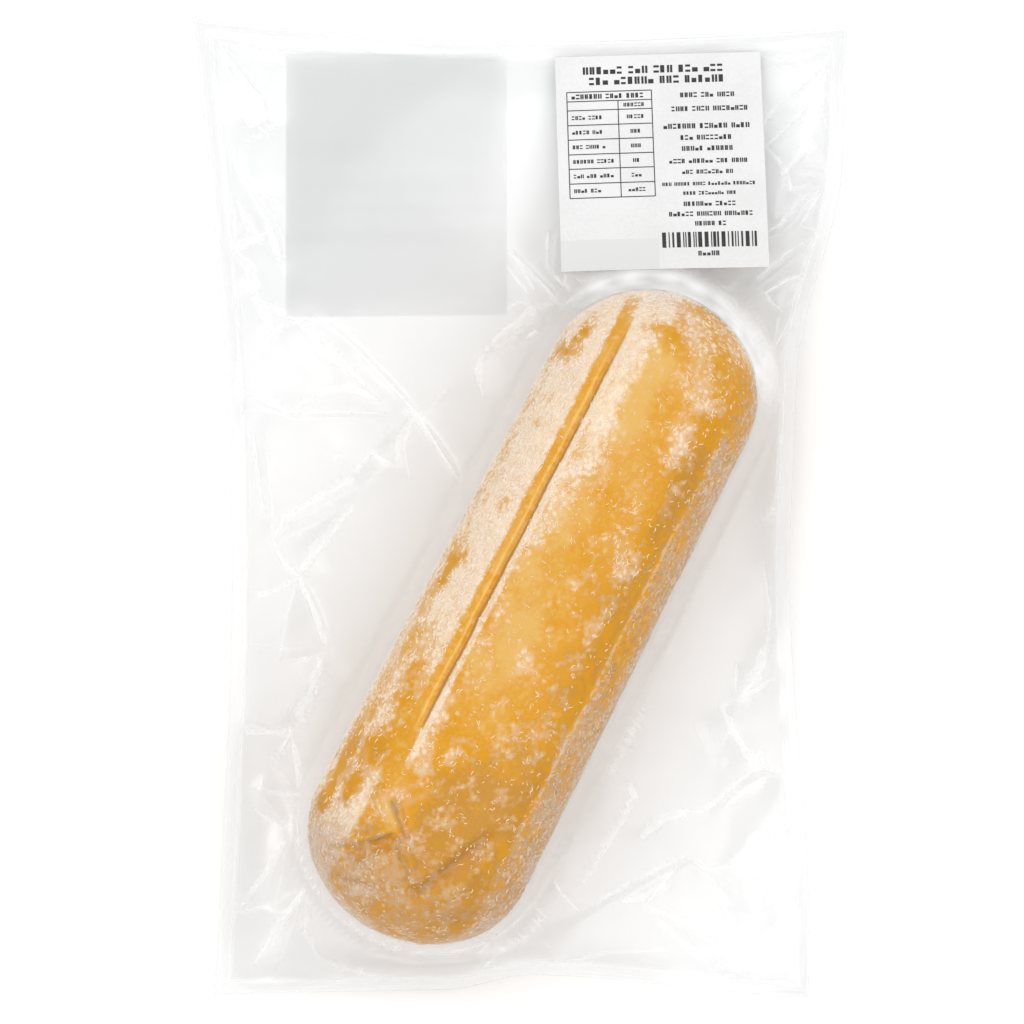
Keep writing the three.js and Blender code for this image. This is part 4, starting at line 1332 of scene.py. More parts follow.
def shape_skirt(log, pouch, creases, x, y, side):
    """What both films share: their points seen from above, how far those are from the log's spine, the log's
    waist there, how far they are beyond the line where the films meet, and the skirt's height. The side is
    1 for the upper film and -1 for the lower one."""
    x, y, distance, waist, edge = even_walls(log, pouch, x, y)
    beyond = distance - (waist + pouch.tent)
    facets, ridges = skirt_relief(pouch, creases, x, y, beyond)
    middle = pouch.skirt(x, y, distance, waist, edge)
    return x, y, distance, waist, beyond, middle + side * film_gap(pouch, x, y) / 2 + facets + ridges


def shape_upper(log, pouch, creases, x, y):
    """The upper film: over the log, down its wall, and out over the skirt. Gives points, how closely the
    film clings to the log, and the painted light on it: glints on its creases, its rim line and a veil round
    the log."""
    x, y, distance, waist, beyond, skirt = shape_skirt(log, pouch, creases, x, y, 1)
    along, across = log.to_log(x, y)
    over = log.top(along, across, distance / waist)
    over += pouch.bridging * log.score_depth(along, across)
    fall = (log.waist - pouch.web - pouch.gap / 2) / pouch.tent
    wall = log.waist - fall * (distance - waist)
    height = np.where(distance > waist, round_corner(wall, skirt, pouch.web_round), over)
    points = np.column_stack((x, y, height))
    lines = list(traced(LOG_CREASES, 1, log.waist + 0.75 * log.crown))
    on_log = 1 - smoothstep(0.85, 1.2, distance / waist)
    crinkle = 0.12 * noise_at(points, 5.5, 21.0)
    slack = 0.16 * noise_at(points * (1, 1, 0.3), 8.5, 23.0) + 0.05 * noise_at(points, 3.4, 24.0)
    loose = smoothstep(2, 8, beyond) * smoothstep(pouch.seal - 1, pouch.seal + 3, pouch.from_edge(x, y))
    log_ridges = crease_lines(x, y, lines, 0.8) * on_log
    points[:, 2] += log_ridges + np.abs(crinkle) * on_log + slack * loose
    points[:, 2] = np.maximum(points[:, 2], pouch.welded_gap)
    seen = smoothstep(-2, 1, beyond) * pouch.unsealed(x, y)
    for label in LABELS.values():
        seen *= 1 - smoothstep(-0.5, 0.5, inside_label(label, x, y))
    # Painted glints along the film's creases on the log.
    on_creases = np.clip(0.8 * crease_lines(x, y, lines, 0.7), 0, 1)
    painted_light = np.maximum(creases.painted_glints(x, y) * seen, on_creases)
    painted_light = np.maximum(painted_light, painted_rim_light(pouch, points, along, beyond))
    return points, 1 - smoothstep(0.97, 1.05, distance / waist), painted_light


def shape_lower(log, pouch, creases, x, y):
    """The lower film: under the log, up to where the films meet, and out under the skirt."""
    x, y, distance, waist, beyond, skirt = shape_skirt(log, pouch, creases, x, y, -1)
    meets = waist + pouch.tent
    leaves = (1 - (pouch.grip / log.keel) ** log.keel_power) ** (1 / log.keel_power)
    off = np.clip((distance - leaves * waist) / (meets - leaves * waist), 0, 1)
    rising = lerp(log.waist - pouch.grip, pouch.web - pouch.gap / 2, off)
    height = np.where(beyond > 0, skirt, np.where(off > 0, rising, log.belly(distance / waist)))
    cling = 1 - smoothstep(leaves, leaves + 0.08, distance / waist)
    return np.column_stack((x, y, np.maximum(height, 0))), cling, np.zeros_like(x)


def flat_share(obj):
    """Where each point of a flat sheet lies across and along it, from 0 to 1."""
    points = points_of(obj.data)
    wide, long = (POUCH_HIGH - POUCH_LOW).xy / MM
    return np.clip(points[:, 0] / wide + 0.5, 0, 1), np.clip(points[:, 1] / long + 0.5, 0, 1)


def refine_creases(obj, log, pouch, creases):
    """Cuts the flat sheet's faces finer where a crease or a glint will run."""
    u, v = flat_share(obj)
    x, y, *_ = even_walls(log, pouch, *pouch.spread(u, v))
    corners = np.empty(len(obj.data.loops), np.int32)
    obj.data.loops.foreach_get("vertex_index", corners)
    corners = corners.reshape(-1, 4)
    x, y = x[corners].mean(axis=1), y[corners].mean(axis=1)
    chosen = creases.nearest(x, y) < pouch.crease_margin
    for label in LABELS.values():
        chosen &= inside_label(label, x, y) < 1
    chosen &= pouch.from_edge(x, y) > pouch.seal - pouch.crease_start
    subdivide_faces(obj, lambda face: chosen[face.index], pouch.crease_cuts)


def rim_loop(u, v):
    """A sheet's border points in order, anticlockwise from its lower left corner."""
    near = 1e-5
    place = np.full(len(u), -1.0)
    place[u < near] = 3 + (1 - v[u < near])
    place[v > 1 - near] = 2 + (1 - u[v > 1 - near])
    place[u > 1 - near] = 1 + v[u > 1 - near]
    place[v < near] = u[v < near]
    order = np.argsort(place)
    return [int(k) for k in order[np.count_nonzero(place < 0):]]


def close_rim(upper, lower, upper_loop, lower_loop):
    """Joins both sheets and closes the bag along its edges; the lower one has half as many points there."""
    first_lower = len(upper.data.vertices)
    choose(upper)
    lower.select_set(True)
    bpy.ops.object.join()
    bm = bmesh.new()
    bm.from_mesh(upper.data)
    bm.verts.ensure_lookup_table()
    count = len(lower_loop)
    for k in range(count):
        low = bm.verts[first_lower + lower_loop[k]]
        next_low = bm.verts[first_lower + lower_loop[(k + 1) % count]]
        high = bm.verts[upper_loop[2 * k]]
        middle = bm.verts[upper_loop[2 * k + 1]]
        next_high = bm.verts[upper_loop[(2 * k + 2) % len(upper_loop)]]
        bm.faces.new((low, next_low, next_high, middle))
        bm.faces.new((low, middle, high))
    bm.to_mesh(upper.data)
    bm.free()


def seal_scatter(pouch, points, haze, lined):
    """Share of light that the welded band scatters, with fine lines along it."""
    edge = pouch.from_edge(points[:, 0], points[:, 1])
    scatter = haze * (1 - smoothstep(pouch.seal - 0.5, pouch.seal + 0.3, edge))
    for place, amount in SEAL_LINES if lined else ():
        scatter += amount * (1 - smoothstep(0.1, 0.45, np.abs(edge - place)))
    return scatter


def make_pouch_film(settings, log_settings):
    """The pouch: an upper and a lower film, welded along their edges into one closed bag."""
    log = Log(log_settings)
    pouch = Pouch(settings, log)
    creases = Creases(pouch)
    sheets = []
    for part, shape in ((1, shape_upper), (2, shape_lower)):
        columns, rows = settings.columns // part, settings.rows // part
        obj, _, _ = add_sheet(columns, rows, *(POUCH_HIGH - POUCH_LOW).xy / MM)
        if shape is shape_upper:
            refine_creases(obj, log, pouch, creases)
        u, v = flat_share(obj)
        points, cling, painted_light = shape(log, pouch, creases, *pouch.spread(u, v))
        set_points(obj.data, points)
        seal = seal_scatter(pouch, points, settings.haze, shape is shape_upper)
        set_attribute(obj.data, "cling", cling)
        # The scatter holds the seal's haze and the painted light: glints, the rim line and the veil.
        set_attribute(obj.data, "scatter", np.maximum(seal, settings.painted_light_share * painted_light))
        sheets.append((obj, rim_loop(u, v)))
    (upper, upper_loop), (lower, lower_loop) = sheets
    choose(lower)
    bpy.ops.object.mode_set(mode="EDIT")
    bpy.ops.mesh.select_all(action="SELECT")
    bpy.ops.mesh.flip_normals()
    bpy.ops.object.mode_set(mode="OBJECT")
    close_rim(upper, lower, upper_loop, lower_loop)
    smooth_shading(upper)
    return finish_piece(upper, "pouch_film", film_material(settings), ("log_in_pouch",))


# --- labels

LABEL_STEP = 1.1
LABEL_LIFT = 0.1  # above the film, where that is smooth
LABEL_CLEARANCE = 0.06  # and at least
BRIDGED_STEPS = 12  # how far a label bridges the film's wrinkles, in passes of softening
SOFTENED_STEPS = 4
SHARP_ANGLE = 40  # degrees; a label's rim stays sharp


def surface_tree(obj):
    """A quick way to find where lines meet an object."""
    return BVHTree.FromObject(obj, bpy.context.evaluated_depsgraph_get())


def drop_onto(tree, x, y):
    """Heights, in millimetres, at which straight lines from above meet a surface."""
    down = Vector((0, 0, -1))
    heights = np.zeros(len(x))
    for i in range(len(x)):
        heights[i] = tree.ray_cast(Vector((x[i] * MM, y[i] * MM, 1)), down)[0].z / MM
    return heights


def lay_sheet(name, thickness):
    """A thin sheet of a label's size that lies on the film and bridges its small wrinkles."""
    label = LABELS[name]
    wide, long = label["size"]
    columns, rows = int(wide / LABEL_STEP), int(long / LABEL_STEP)
    obj, column, row = add_sheet(columns, rows, wide, long, label["centre"], math.radians(label["turn"]))
    points = points_of(obj.data)
    film = drop_onto(surface_tree(bpy.data.objects["pouch_film"]), points[:, 0], points[:, 1])
    bridged = blur_grid(film, column, row, BRIDGED_STEPS)
    raised = np.maximum(bridged, film)
    points[:, 2] = blur_grid(raised, column, row, SOFTENED_STEPS) + LABEL_LIFT
    points[:, 2] = np.maximum(points[:, 2], film + LABEL_CLEARANCE)
    set_points(obj.data, points)
    solid = obj.modifiers.new("thickness", "SOLIDIFY")
    solid.thickness = thickness
    solid.offset = 1
    bpy.ops.object.modifier_apply(modifier=solid.name)
    smooth_shading(obj)
    bpy.ops.object.shade_smooth_by_angle(angle=math.radians(SHARP_ANGLE))
    return obj


# The print is plain blocks in lines. Millimetres from the label's upper left corner: middle across, distance
# down, width and height of each line.
TITLE_LINES = ((31.1, 4.5, 45.4, 2.3), (31.1, 7.8, 41.8, 2.3))
SIDE_LINES = (
    (46.3, 12.8, 17.0, 1.5), (46.8, 17.1, 23.6, 1.5), (45.7, 22.5, 26.7, 1.6), (45.6, 26.1, 16.4, 1.5),
    (45.6, 29.5, 15.8, 1.5), (45.8, 33.4, 24.2, 1.4), (45.7, 36.8, 16.4, 1.3), (45.8, 40.5, 29.0, 1.1),
    (45.9, 43.4, 16.7, 1.1), (45.9, 46.7, 16.7, 1.4), (46.0, 49.8, 26.0, 1.4), (45.9, 52.8, 10.3, 1.4),
    (45.0, 62.0, 7.3, 1.5),
)
TABLE = {
    "left": 3.3, "right": 29.1, "top": 11.0, "divider": 18.8, "line": 0.3, "indent": 1.3,
    "heading": (23.0, 1.5), "value heading": (7.0, 1.2), "row height": 1.2,
}
TABLE_ROWS = (13.9, 16.7, 21.3, 25.8, 30.4, 34.9, 39.5, 44.0)
ROW_WIDTHS = (10.0, 9.4, 10.6, 13.6, 13.0, 8.2)
VALUE_WIDTHS = (5.2, 3.3, 3.3, 2.4, 3.6, 5.8)
BARS = {"left": 30.6, "right": 59.4, "top": 55.4, "bottom": 60.1}
INK_HEIGHT = 0.03
INK_CLEARANCE = 0.005


def ink_blocks(middle, down, width, height, draw):
    """Blocks of one line of print, in groups: a small block, a pair of uprights, two bars or a low block."""
    pitch = height * 0.9
    stroke = height * 0.3
    x = middle - width / 2
    end = middle + width / 2
    blocks = []
    left_in_group = draw.randint(3, 8)
    while x + pitch * 0.7 < end:
        if left_in_group == 0:
            left_in_group = draw.randint(3, 8)
            x += pitch * 0.7
            continue
        left_in_group -= 1
        kind = draw.choice(("block", "pair", "pair", "low", "bars"))
        wide = pitch * draw.uniform(0.7, 0.84)
        top, bottom = down - height / 2, down + height / 2
        if kind == "block":
            blocks.append((x, top, x + wide * 0.8, bottom))
        elif kind == "pair":
            blocks.append((x, top, x + stroke, bottom))
            blocks.append((x + wide - stroke, top, x + wide, bottom))
        elif kind == "low":
            blocks.append((x, lerp(top, bottom, 0.4), x + wide, bottom))
        else:
            blocks.append((x, top, x + wide, top + stroke))
            blocks.append((x, bottom - stroke, x + wide, bottom))
        x += pitch
    return blocks


def rule(x0, y0, x1, y1, step=2.2):
    """A long thin line as blocks end to end, so that it can follow the paper."""
    parts = max(1, round(max(x1 - x0, y1 - y0) / step))
    for k in range(parts):
        if x1 - x0 > y1 - y0:
            yield (lerp(x0, x1, k / parts), y0, lerp(x0, x1, (k + 1) / parts), y1)
        else:
            yield (x0, lerp(y0, y1, k / parts), x1, lerp(y0, y1, (k + 1) / parts))


def table_blocks(draw):
    """The lined table: its rules, its headings, and a line of print and a value in each row."""
    half = TABLE["line"] / 2
    bottom = TABLE_ROWS[-1]
    for y in (TABLE["top"], *TABLE_ROWS):
        yield from rule(TABLE["left"], y - half, TABLE["right"], y + half)
    for x in (TABLE["left"], TABLE["right"]):
        yield from rule(x - half, TABLE["top"], x + half, bottom)
    yield from rule(TABLE["divider"] - half, TABLE_ROWS[0], TABLE["divider"] + half, bottom)
    middle = (TABLE["left"] + TABLE["right"]) / 2
    yield from ink_blocks(middle, (TABLE["top"] + TABLE_ROWS[0]) / 2, *TABLE["heading"], draw)
    value_middle = (TABLE["divider"] + TABLE["right"]) / 2
    yield from ink_blocks(value_middle, (TABLE_ROWS[0] + TABLE_ROWS[1]) / 2, *TABLE["value heading"], draw)
    rows = list(zip(TABLE_ROWS[1:], TABLE_ROWS[2:]))
    left, height = TABLE["left"] + TABLE["indent"], TABLE["row height"]
    for (top, low), wide, value in zip(rows, ROW_WIDTHS, VALUE_WIDTHS):
        down = (top + low) / 2
        yield from ink_blocks(left + wide / 2, down, wide, height, draw)
        yield from ink_blocks(value_middle, down, value, height, draw)


def bar_blocks(draw):
    """The row of tall bars at the label's foot."""
    x = BARS["left"]
    while x < BARS["right"]:
        wide = draw.choice((0.35, 0.35, 0.6, 0.9, 1.2))
        yield (x, BARS["top"], min(x + wide, BARS["right"]), BARS["bottom"])
        x += wide + draw.choice((0.3, 0.45, 0.75))


def all_blocks():
    """Every block of the print, from left, top, right and bottom on the label."""
    draw = random.Random(12)
    for line in (*TITLE_LINES, *SIDE_LINES):
        yield from ink_blocks(*line, draw)
    yield from table_blocks(draw)
    yield from bar_blocks(draw)


def make_label_print(settings):
    """The print, as thin plates of ink on the paper."""
    label = LABELS["printed_label"]
    turn = math.radians(label["turn"])
    wide, long = label["size"]
    deselect_all()
    obj = None
    for x0, y0, x1, y1 in all_blocks():
        u = (x0 + x1) / 2 - wide / 2
        v = long / 2 - (y0 + y1) / 2
        x = label["centre"][0] + u * math.cos(turn) - v * math.sin(turn)
        y = label["centre"][1] + u * math.sin(turn) + v * math.cos(turn)
        bpy.ops.mesh.primitive_cube_add(
            size=MM, location=(x * MM, y * MM, 0), rotation=(0, 0, turn),
            scale=(x1 - x0, y1 - y0, INK_HEIGHT),
        )
        if obj is None:
            obj = bpy.context.object
            bpy.ops.object.transform_apply(location=True, rotation=True, scale=True)
            bpy.ops.object.mode_set(mode="EDIT")
    bpy.ops.object.mode_set(mode="OBJECT")
    points = points_of(obj.data)
    paper = drop_onto(surface_tree(bpy.data.objects["paper_label"]), points[:, 0], points[:, 1])
    points[:, 2] += paper + INK_HEIGHT / 2 + INK_CLEARANCE
    set_points(obj.data, points)
    return finish_piece(obj, "label_print", ink_material(settings))


# --- materials


class Nodes:
    """Short ways to build the nodes of a material, or of the world."""

    def __init__(self, name, kind="Material"):
        owners = bpy.data.materials if kind == "Material" else bpy.data.worlds
        self.owner = owners.new(name)
        self.owner.use_nodes = True
        self.tree = self.owner.node_tree
        self.tree.nodes.clear()
        self.output = self.add("ShaderNodeOutput" + kind)

    def add(self, kind, **settings):
        node = self.tree.nodes.new(kind)
        for key, value in settings.items():
            setattr(node, key, value)
        return node

    def link(self, source, target):
        self.tree.links.new(source, target)

    def feed(self, node, socket, value):
        """Sets a socket to a number or colour, or links it."""
        if isinstance(value, bpy.types.NodeSocket):
            self.link(value, node.inputs[socket])
        elif hasattr(value, "__len__"):
            node.inputs[socket].default_value = (*value, 1) if len(value) == 3 else value
        else:
            node.inputs[socket].default_value = value

    def where(self, scale=(1, 1, 1), turn=0.0, location=(0, 0, 0)):
        """Object coordinates in metres, turned or stretched."""
        mapping = self.add("ShaderNodeMapping")
        for name, value in (("Scale", scale), ("Rotation", (0, 0, turn)), ("Location", location)):
            mapping.inputs[name].default_value = value
        self.link(self.add("ShaderNodeTexCoord").outputs["Object"], mapping.inputs["Vector"])
        return mapping.outputs["Vector"]

    def noise(self, per_metre, detail=3.0, roughness=0.5, distortion=0.0, vector=None):
        """Noise with lumps about one part of a metre wide."""
        node = self.add("ShaderNodeTexNoise")
        self.link(vector or self.where(), node.inputs["Vector"])
        values = {"Scale": per_metre, "Detail": detail, "Roughness": roughness, "Distortion": distortion}
        for name, value in values.items():
            node.inputs[name].default_value = value
        return node.outputs["Fac"]

    def math(self, operation, a, b=0.0, c=0.0):
        node = self.add("ShaderNodeMath", operation=operation)
        for socket, value in enumerate((a, b, c)):
            self.feed(node, socket, value)
        return node.outputs[0]

    def times(self, a, b):
        return self.math("MULTIPLY", a, b)

    def span(self, value, low, high, out_low=0.0, out_high=1.0, smooth=True):
        """Maps a number from one span to another, clamped."""
        node = self.add("ShaderNodeMapRange", interpolation_type="SMOOTHSTEP" if smooth else "LINEAR")
        self.feed(node, 0, value)
        for socket, number in enumerate((low, high, out_low, out_high), 1):
            self.feed(node, socket, number)
        return node.outputs[0]

    def mix(self, factor, a, b):
        node = self.add("ShaderNodeMix", data_type="RGBA")
        self.feed(node, 0, factor)
        self.feed(node, 6, a)
        self.feed(node, 7, b)
        return node.outputs[2]

    def attribute(self, name):
        return self.add("ShaderNodeAttribute", attribute_name=name).outputs["Fac"]

    def bump(self, height, strength, distance):
        node = self.add("ShaderNodeBump")
        self.feed(node, "Height", height)
        node.inputs["Strength"].default_value = strength
        node.inputs["Distance"].default_value = distance
        return node.outputs["Normal"]

    def shader(self, kind, **inputs):
        node = self.add(kind)
        for name, value in inputs.items():
            self.feed(node, name.replace("_", " "), value)
        return node.outputs[0]

    def mix_shader(self, factor, a, b):
        node = self.add("ShaderNodeMixShader")
        self.feed(node, 0, factor)
        self.link(a, node.inputs[1])
        self.link(b, node.inputs[2])
        return node.outputs[0]

    def finish(self, surface):
        self.link(surface, self.output.inputs["Surface"])
        return self.owner


# Fine lines along the long score and along the fainter one: place to the right of the score's bottom and
# half-width in millimetres, strength, and colour. Along the long score they are a painted highlight on the
# lip, painted shade as a dark hairline in the groove, and the frost's pale border; along the fainter one,
# painted shade in its groove and a pale line of frost.
SCORE_LINES = (
    # painted highlight on the lip
    (-1.5, 0.5, 0.7, (0.86, 0.52, 0.14)),
    # painted shade in the groove's bottom
    (0.1, 0.55, 0.65, (0.36, 0.17, 0.05)),
    # the frost's pale border
    (1.15, 0.35, 0.7, (0.93, 0.80, 0.64)),
)
# Painted shade in the fainter score's groove, and a pale line of frost.
FAINT_SCORE_LINES = ((0.0, 1.0, 0.25, (0.50, 0.25, 0.06)), (1.1, 0.6, 0.4, (0.88, 0.70, 0.46)))


GRIT = (0.42, 0.22, 0.07)  # brown specks in the thin dull frost
# Painted shade in the hollows of the folds.
PAINTED_FOLD_SHADE = ((0.24, 0.11, 0.035), (0.42, 0.25, 0.13))  # darkest and palest colour in the folds
CHIPS_PER_METRE = 680
CHIP_WOBBLE = (0.0018, 0.0026, -0.0018)  # how far, in metres, noise bends the chips' outlines
CHIP_RELIEF = 0.00022


def cheese_material(settings):
    """Smoked cheese: mottled amber, with frost in small chips and brown painted shade round their rims."""
    n = Nodes("smoked cheese")
    frost = n.attribute("frost")
    shade = n.attribute("shade")
    fine = n.noise(520, 2, 0.6)
    cloudy = n.noise(170, 1, 0.6)
    mottled = n.math("ADD", n.span(fine, 0.3, 0.7, -0.3, 0.3, False), n.attribute("tone"))
    deep = n.math("ADD", mottled, n.span(cloudy, 0.3, 0.7, -0.3, 0.3, False))
    base = n.mix(n.span(deep, -0.75, 0.3), settings.golden, settings.amber)
    base = n.mix(n.span(deep, 0.25, 1.15, 0, 0.75), base, settings.brown)
    # chips: bent cells that are on or off by chance and by how much frost there is
    bent = n.add("ShaderNodeVectorMath", operation="MULTIPLY_ADD")
    wobble = n.add("ShaderNodeCombineXYZ")
    for axis, source in enumerate((fine, cloudy, fine)):
        n.link(source, wobble.inputs[axis])
    n.link(wobble.outputs[0], bent.inputs[0])
    bent.inputs[1].default_value = CHIP_WOBBLE
    n.link(n.where(), bent.inputs[2])
    cells = n.add("ShaderNodeTexVoronoi")
    cells.inputs["Scale"].default_value = CHIPS_PER_METRE
    n.link(bent.outputs[0], cells.inputs["Vector"])
    chance = n.add("ShaderNodeSeparateColor")
    n.link(cells.outputs["Color"], chance.inputs[0])
    inner = n.span(cells.outputs["Distance"], 0.3, 0.62, 1, 0)
    excess = n.math("SUBTRACT", n.times(frost, 1.1), chance.outputs[0])
    chip = n.times(n.span(excess, -0.05, 0.12), n.math("MULTIPLY_ADD", inner, 0.7, 0.3))
    # Painted shade: a brown rim round each chip, so that it looks raised.
    rim = n.times(n.span(inner, 0, 0.35, 1, 0), n.span(frost, 0.08, 0.5, 0.0, 0.18))
    misted = n.math("ADD", frost, n.span(fine, 0.3, 0.7, -0.2, 0.2, False))
    misted = n.math("ADD", misted, n.span(cloudy, 0.3, 0.7, -0.15, 0.15, False))
    film_of_frost = n.span(misted, 0.1, 1.0, 0, 0.9, False)
    dull_and_shade = n.attribute("dull_and_shade")
    # Tan rime down the right side is partly painted shade.
    rime = n.mix(dull_and_shade, settings.rime, settings.tan)
    skin = n.mix(film_of_frost, base, rime)
    chip_colour = n.mix(n.math("MULTIPLY_ADD", dull_and_shade, -0.5, chance.outputs[1]), rime, settings.frost)
    even = n.span(frost, 0.6, 0.95, 1, 0.4)
    chip_share = n.times(n.span(frost, 0.1, 0.6, 0.3, 0.6), even)
    skin = n.mix(n.times(chip, chip_share), skin, chip_colour)
    # The chips' brown rims are painted shade.
    skin = n.mix(n.times(rim, even), skin, settings.brown)
    grit = n.span(fine, 0.52, 0.66, 0, 0.5)
    skin = n.mix(n.times(grit, dull_and_shade), skin, GRIT)
    # Painted shade in the hollows of the folds, broken by noise.
    fold_shade_colour = n.mix(n.span(fine, 0.35, 0.65), *PAINTED_FOLD_SHADE)
    fold_shade_share = n.times(shade, n.span(fine, 0.3, 0.6, 0.5, 0.9))
    skin = n.mix(fold_shade_share, skin, fold_shade_colour)
    skin = score_line(n, settings, skin, fine)
    height = n.times(inner, n.span(frost, 0, 0.5, 0.15, 1))
    normal = n.bump(height, 0.4, CHIP_RELIEF)
    surface = n.shader(
        "ShaderNodeBsdfPrincipled", Base_Color=skin, Roughness=0.6, Normal=normal, Specular_IOR_Level=0.15
    )
    return n.finish(surface)


def lines_beside(n, skin, across, score, lines, shown):
    """Draws fine lines along a score."""
    for place, half, strength, tone in lines:
        off = n.math("ABSOLUTE", n.math("SUBTRACT", across, score["across"] + place))
        amount = n.times(n.span(off, 0.3 * half, half, strength, 0), shown)
        skin = n.mix(amount, skin, tone)
    return skin


def score_line(n, settings, skin, fine):
    """Clean lip along the long score, with a painted highlight as a bright line, painted shade as a dark
    hairline and the frost's sharp border beside it, and the lines of the fainter score, painted shade and
    frost. Places are millimetres across the log."""
    score, side = SCORES
    across, along = n.attribute("across"), n.attribute("along")
    start, end, line = score["start"], score["end"], score["across"]
    reach = n.times(n.span(along, start, start + 10), n.span(along, end - 30, end - 6, 1, 0))
    inside = n.span(across, line - 2.7, line - 1.7)
    lip = n.times(inside, n.span(across, line + 0.1, line + 0.7, 1, 0))
    lip_skin = n.mix(n.span(fine, 0.35, 0.65, 0.0, 0.9), settings.amber, settings.golden)
    worn_lip = n.times(n.times(lip, reach), n.span(fine, 0.35, 0.65, 0.6, 0.9))
    skin = n.mix(worn_lip, skin, lip_skin)
    shown = n.times(reach, n.span(fine, 0.3, 0.55, 0.6, 1))
    skin = lines_beside(n, skin, across, score, SCORE_LINES, shown)
    start, end = side["start"], side["end"]
    reach = n.times(n.span(along, start, start + 12), n.span(along, end - 12, end, 1, 0))
    shown = n.times(reach, n.span(fine, 0.4, 0.6, 0, 1))
    return lines_beside(n, skin, across, side, FAINT_SCORE_LINES, shown)


def crystal_material(settings):
    """Ice crystals: as pale as the frost in thick frost, and clearer and yellower where they lie alone. They
    turn tan down the log's right side, partly as painted shade, and round its lower end.
    """
    n = Nodes("frost crystals")
    tint = n.mix(n.span(n.attribute("frost"), 0.15, 0.7), settings.ice, settings.frost)
    tint = n.mix(n.span(n.noise(500, 1), 0.35, 0.65, 0, 0.5), tint, settings.rime)
    tint = n.mix(n.attribute("dull_and_shade"), tint, settings.tan)
    surface = n.shader("ShaderNodeBsdfPrincipled", Base_Color=tint, Roughness=0.5)
    return n.finish(surface)


def film_material(settings):
    """Clear film: lets light through and mirrors more of it at a slant, less where it clings to the log. It
    scatters a little in the welded bands, more on the fine lines along them, and most where light is painted
    on
    it: glints on sharp creases, a highlight along its rim round the log and a veil round the log."""
    n = Nodes("clear film")
    weight = n.add("ShaderNodeLayerWeight")
    weight.inputs["Blend"].default_value = 0.5
    slant = n.math("POWER", weight.outputs["Facing"], 5)
    mirrored = n.math("MULTIPLY_ADD", slant, 0.8, settings.gloss)
    held = n.math("MULTIPLY_ADD", n.attribute("cling"), settings.cling - 1, 1)
    clear = n.shader("ShaderNodeBsdfTransparent", Color=settings.tint)
    # The milky part shows the seal's haze and the painted light.
    milky = n.shader("ShaderNodeBsdfDiffuse", Color=(0.95, 0.95, 0.95))
    body = n.mix_shader(n.attribute("scatter"), clear, milky)
    gloss = n.shader("ShaderNodeBsdfGlossy", Color=(1, 1, 1), Roughness=settings.roughness)
    return n.finish(n.mix_shader(n.times(mirrored, held), body, gloss))


# Greyer strip of the printed label's paper: its right end and its top, in millimetres from the label's upper
# left corner, and its share of the paper's brightness.
PAPER_STRIP = {"right": 29.6, "top": 57.0, "share": 0.91}


def paper_material(settings):
    """Matt label paper with faint fibres, and a greyer strip along its lower left."""
    n = Nodes("label paper")
    fibres = n.noise(900, 2, 0.65, distortion=0.4)
    cloud = n.noise(60, 1)
    darker = tuple(c * 0.95 for c in settings.paper)
    tint = n.mix(n.span(n.math("ADD", fibres, cloud), 0.8, 1.2), settings.paper, darker)
    label = LABELS["printed_label"]
    turn = math.radians(label["turn"])
    centre = Vector((*label["centre"], 0)) * MM
    centre.rotate(Euler((0, 0, -turn)))
    split = n.add("ShaderNodeSeparateXYZ")
    n.link(n.where(turn=-turn, location=tuple(-centre)), split.inputs[0])
    wide, long = (side * MM for side in label["size"])
    left = n.math("LESS_THAN", split.outputs["X"], PAPER_STRIP["right"] * MM - wide / 2)
    low = n.math("LESS_THAN", split.outputs["Y"], long / 2 - PAPER_STRIP["top"] * MM)
    greyer = tuple(c * PAPER_STRIP["share"] for c in settings.paper)
    tint = n.mix(n.times(left, low), tint, greyer)
    surface = n.shader("ShaderNodeBsdfPrincipled", Base_Color=tint, Roughness=0.7)
    return n.finish(surface)


def ink_material(settings):
    """Black print, a little thin in places."""
    n = Nodes("label ink")
    lighter = tuple(min(1, c * 3 + 0.01) for c in settings.ink)
    tint = n.mix(n.span(n.noise(1800, 2), 0.5, 0.75), settings.ink, lighter)
    surface = n.shader("ShaderNodeBsdfPrincipled", Base_Color=tint, Roughness=0.55)
    return n.finish(surface)


def bare_label_material(settings):
    """A bare see-through label: a pale veil, thinner on its upper third, with faint bands and streaks."""
    n = Nodes("bare label")
    across = n.noise(190, 1, 0.75, vector=n.where(scale=(0.02, 1, 0.02)))
    down = n.noise(170, 1, 0.75, vector=n.where(scale=(1, 0.02, 0.02)))
    streaks = n.span(n.math("MULTIPLY_ADD", across, 1.5, down), 0.95, 1.55, -0.6, 2.2, False)
    split = n.add("ShaderNodeSeparateXYZ")
    n.link(n.where(), split.inputs[0])
    upper = (LABELS["blank_label"]["centre"][1] + 0.24 * LABELS["blank_label"]["size"][1]) * MM
    thin = n.span(split.outputs["Y"], upper - 0.4 * MM, upper + 0.4 * MM, 1, 0.55)
    lost = n.times(n.times(streaks, thin), settings.dim)
    tint = n.mix(lost, (1, 1, 1), (0, 0, 0))
    clear = n.shader("ShaderNodeBsdfTransparent", Color=tint)
    milky = n.shader("ShaderNodeBsdfDiffuse", Color=settings.bare)
    return n.finish(n.mix_shader(settings.veil, clear, milky))


# --- the studio

SENSOR = 36  # millimetres
FLOOR_SIDE = 8  # metres
RING_SPAN = (0.3, 0.75)  # sines of the elevations between which the low light turns into the ring
OVERHEAD_SPAN = (0.9, 0.99)  # and the ring into the light overhead
LIGHT_DISTANCE = 1.4
WIDE_LIGHT = 0.9  # side of the key and the fill, in metres
SMALL_LIGHT = 0.26
SMALL_LIGHTS = {"left": (195, 38), "low": (260, 36)}  # azimuth and elevation in degrees


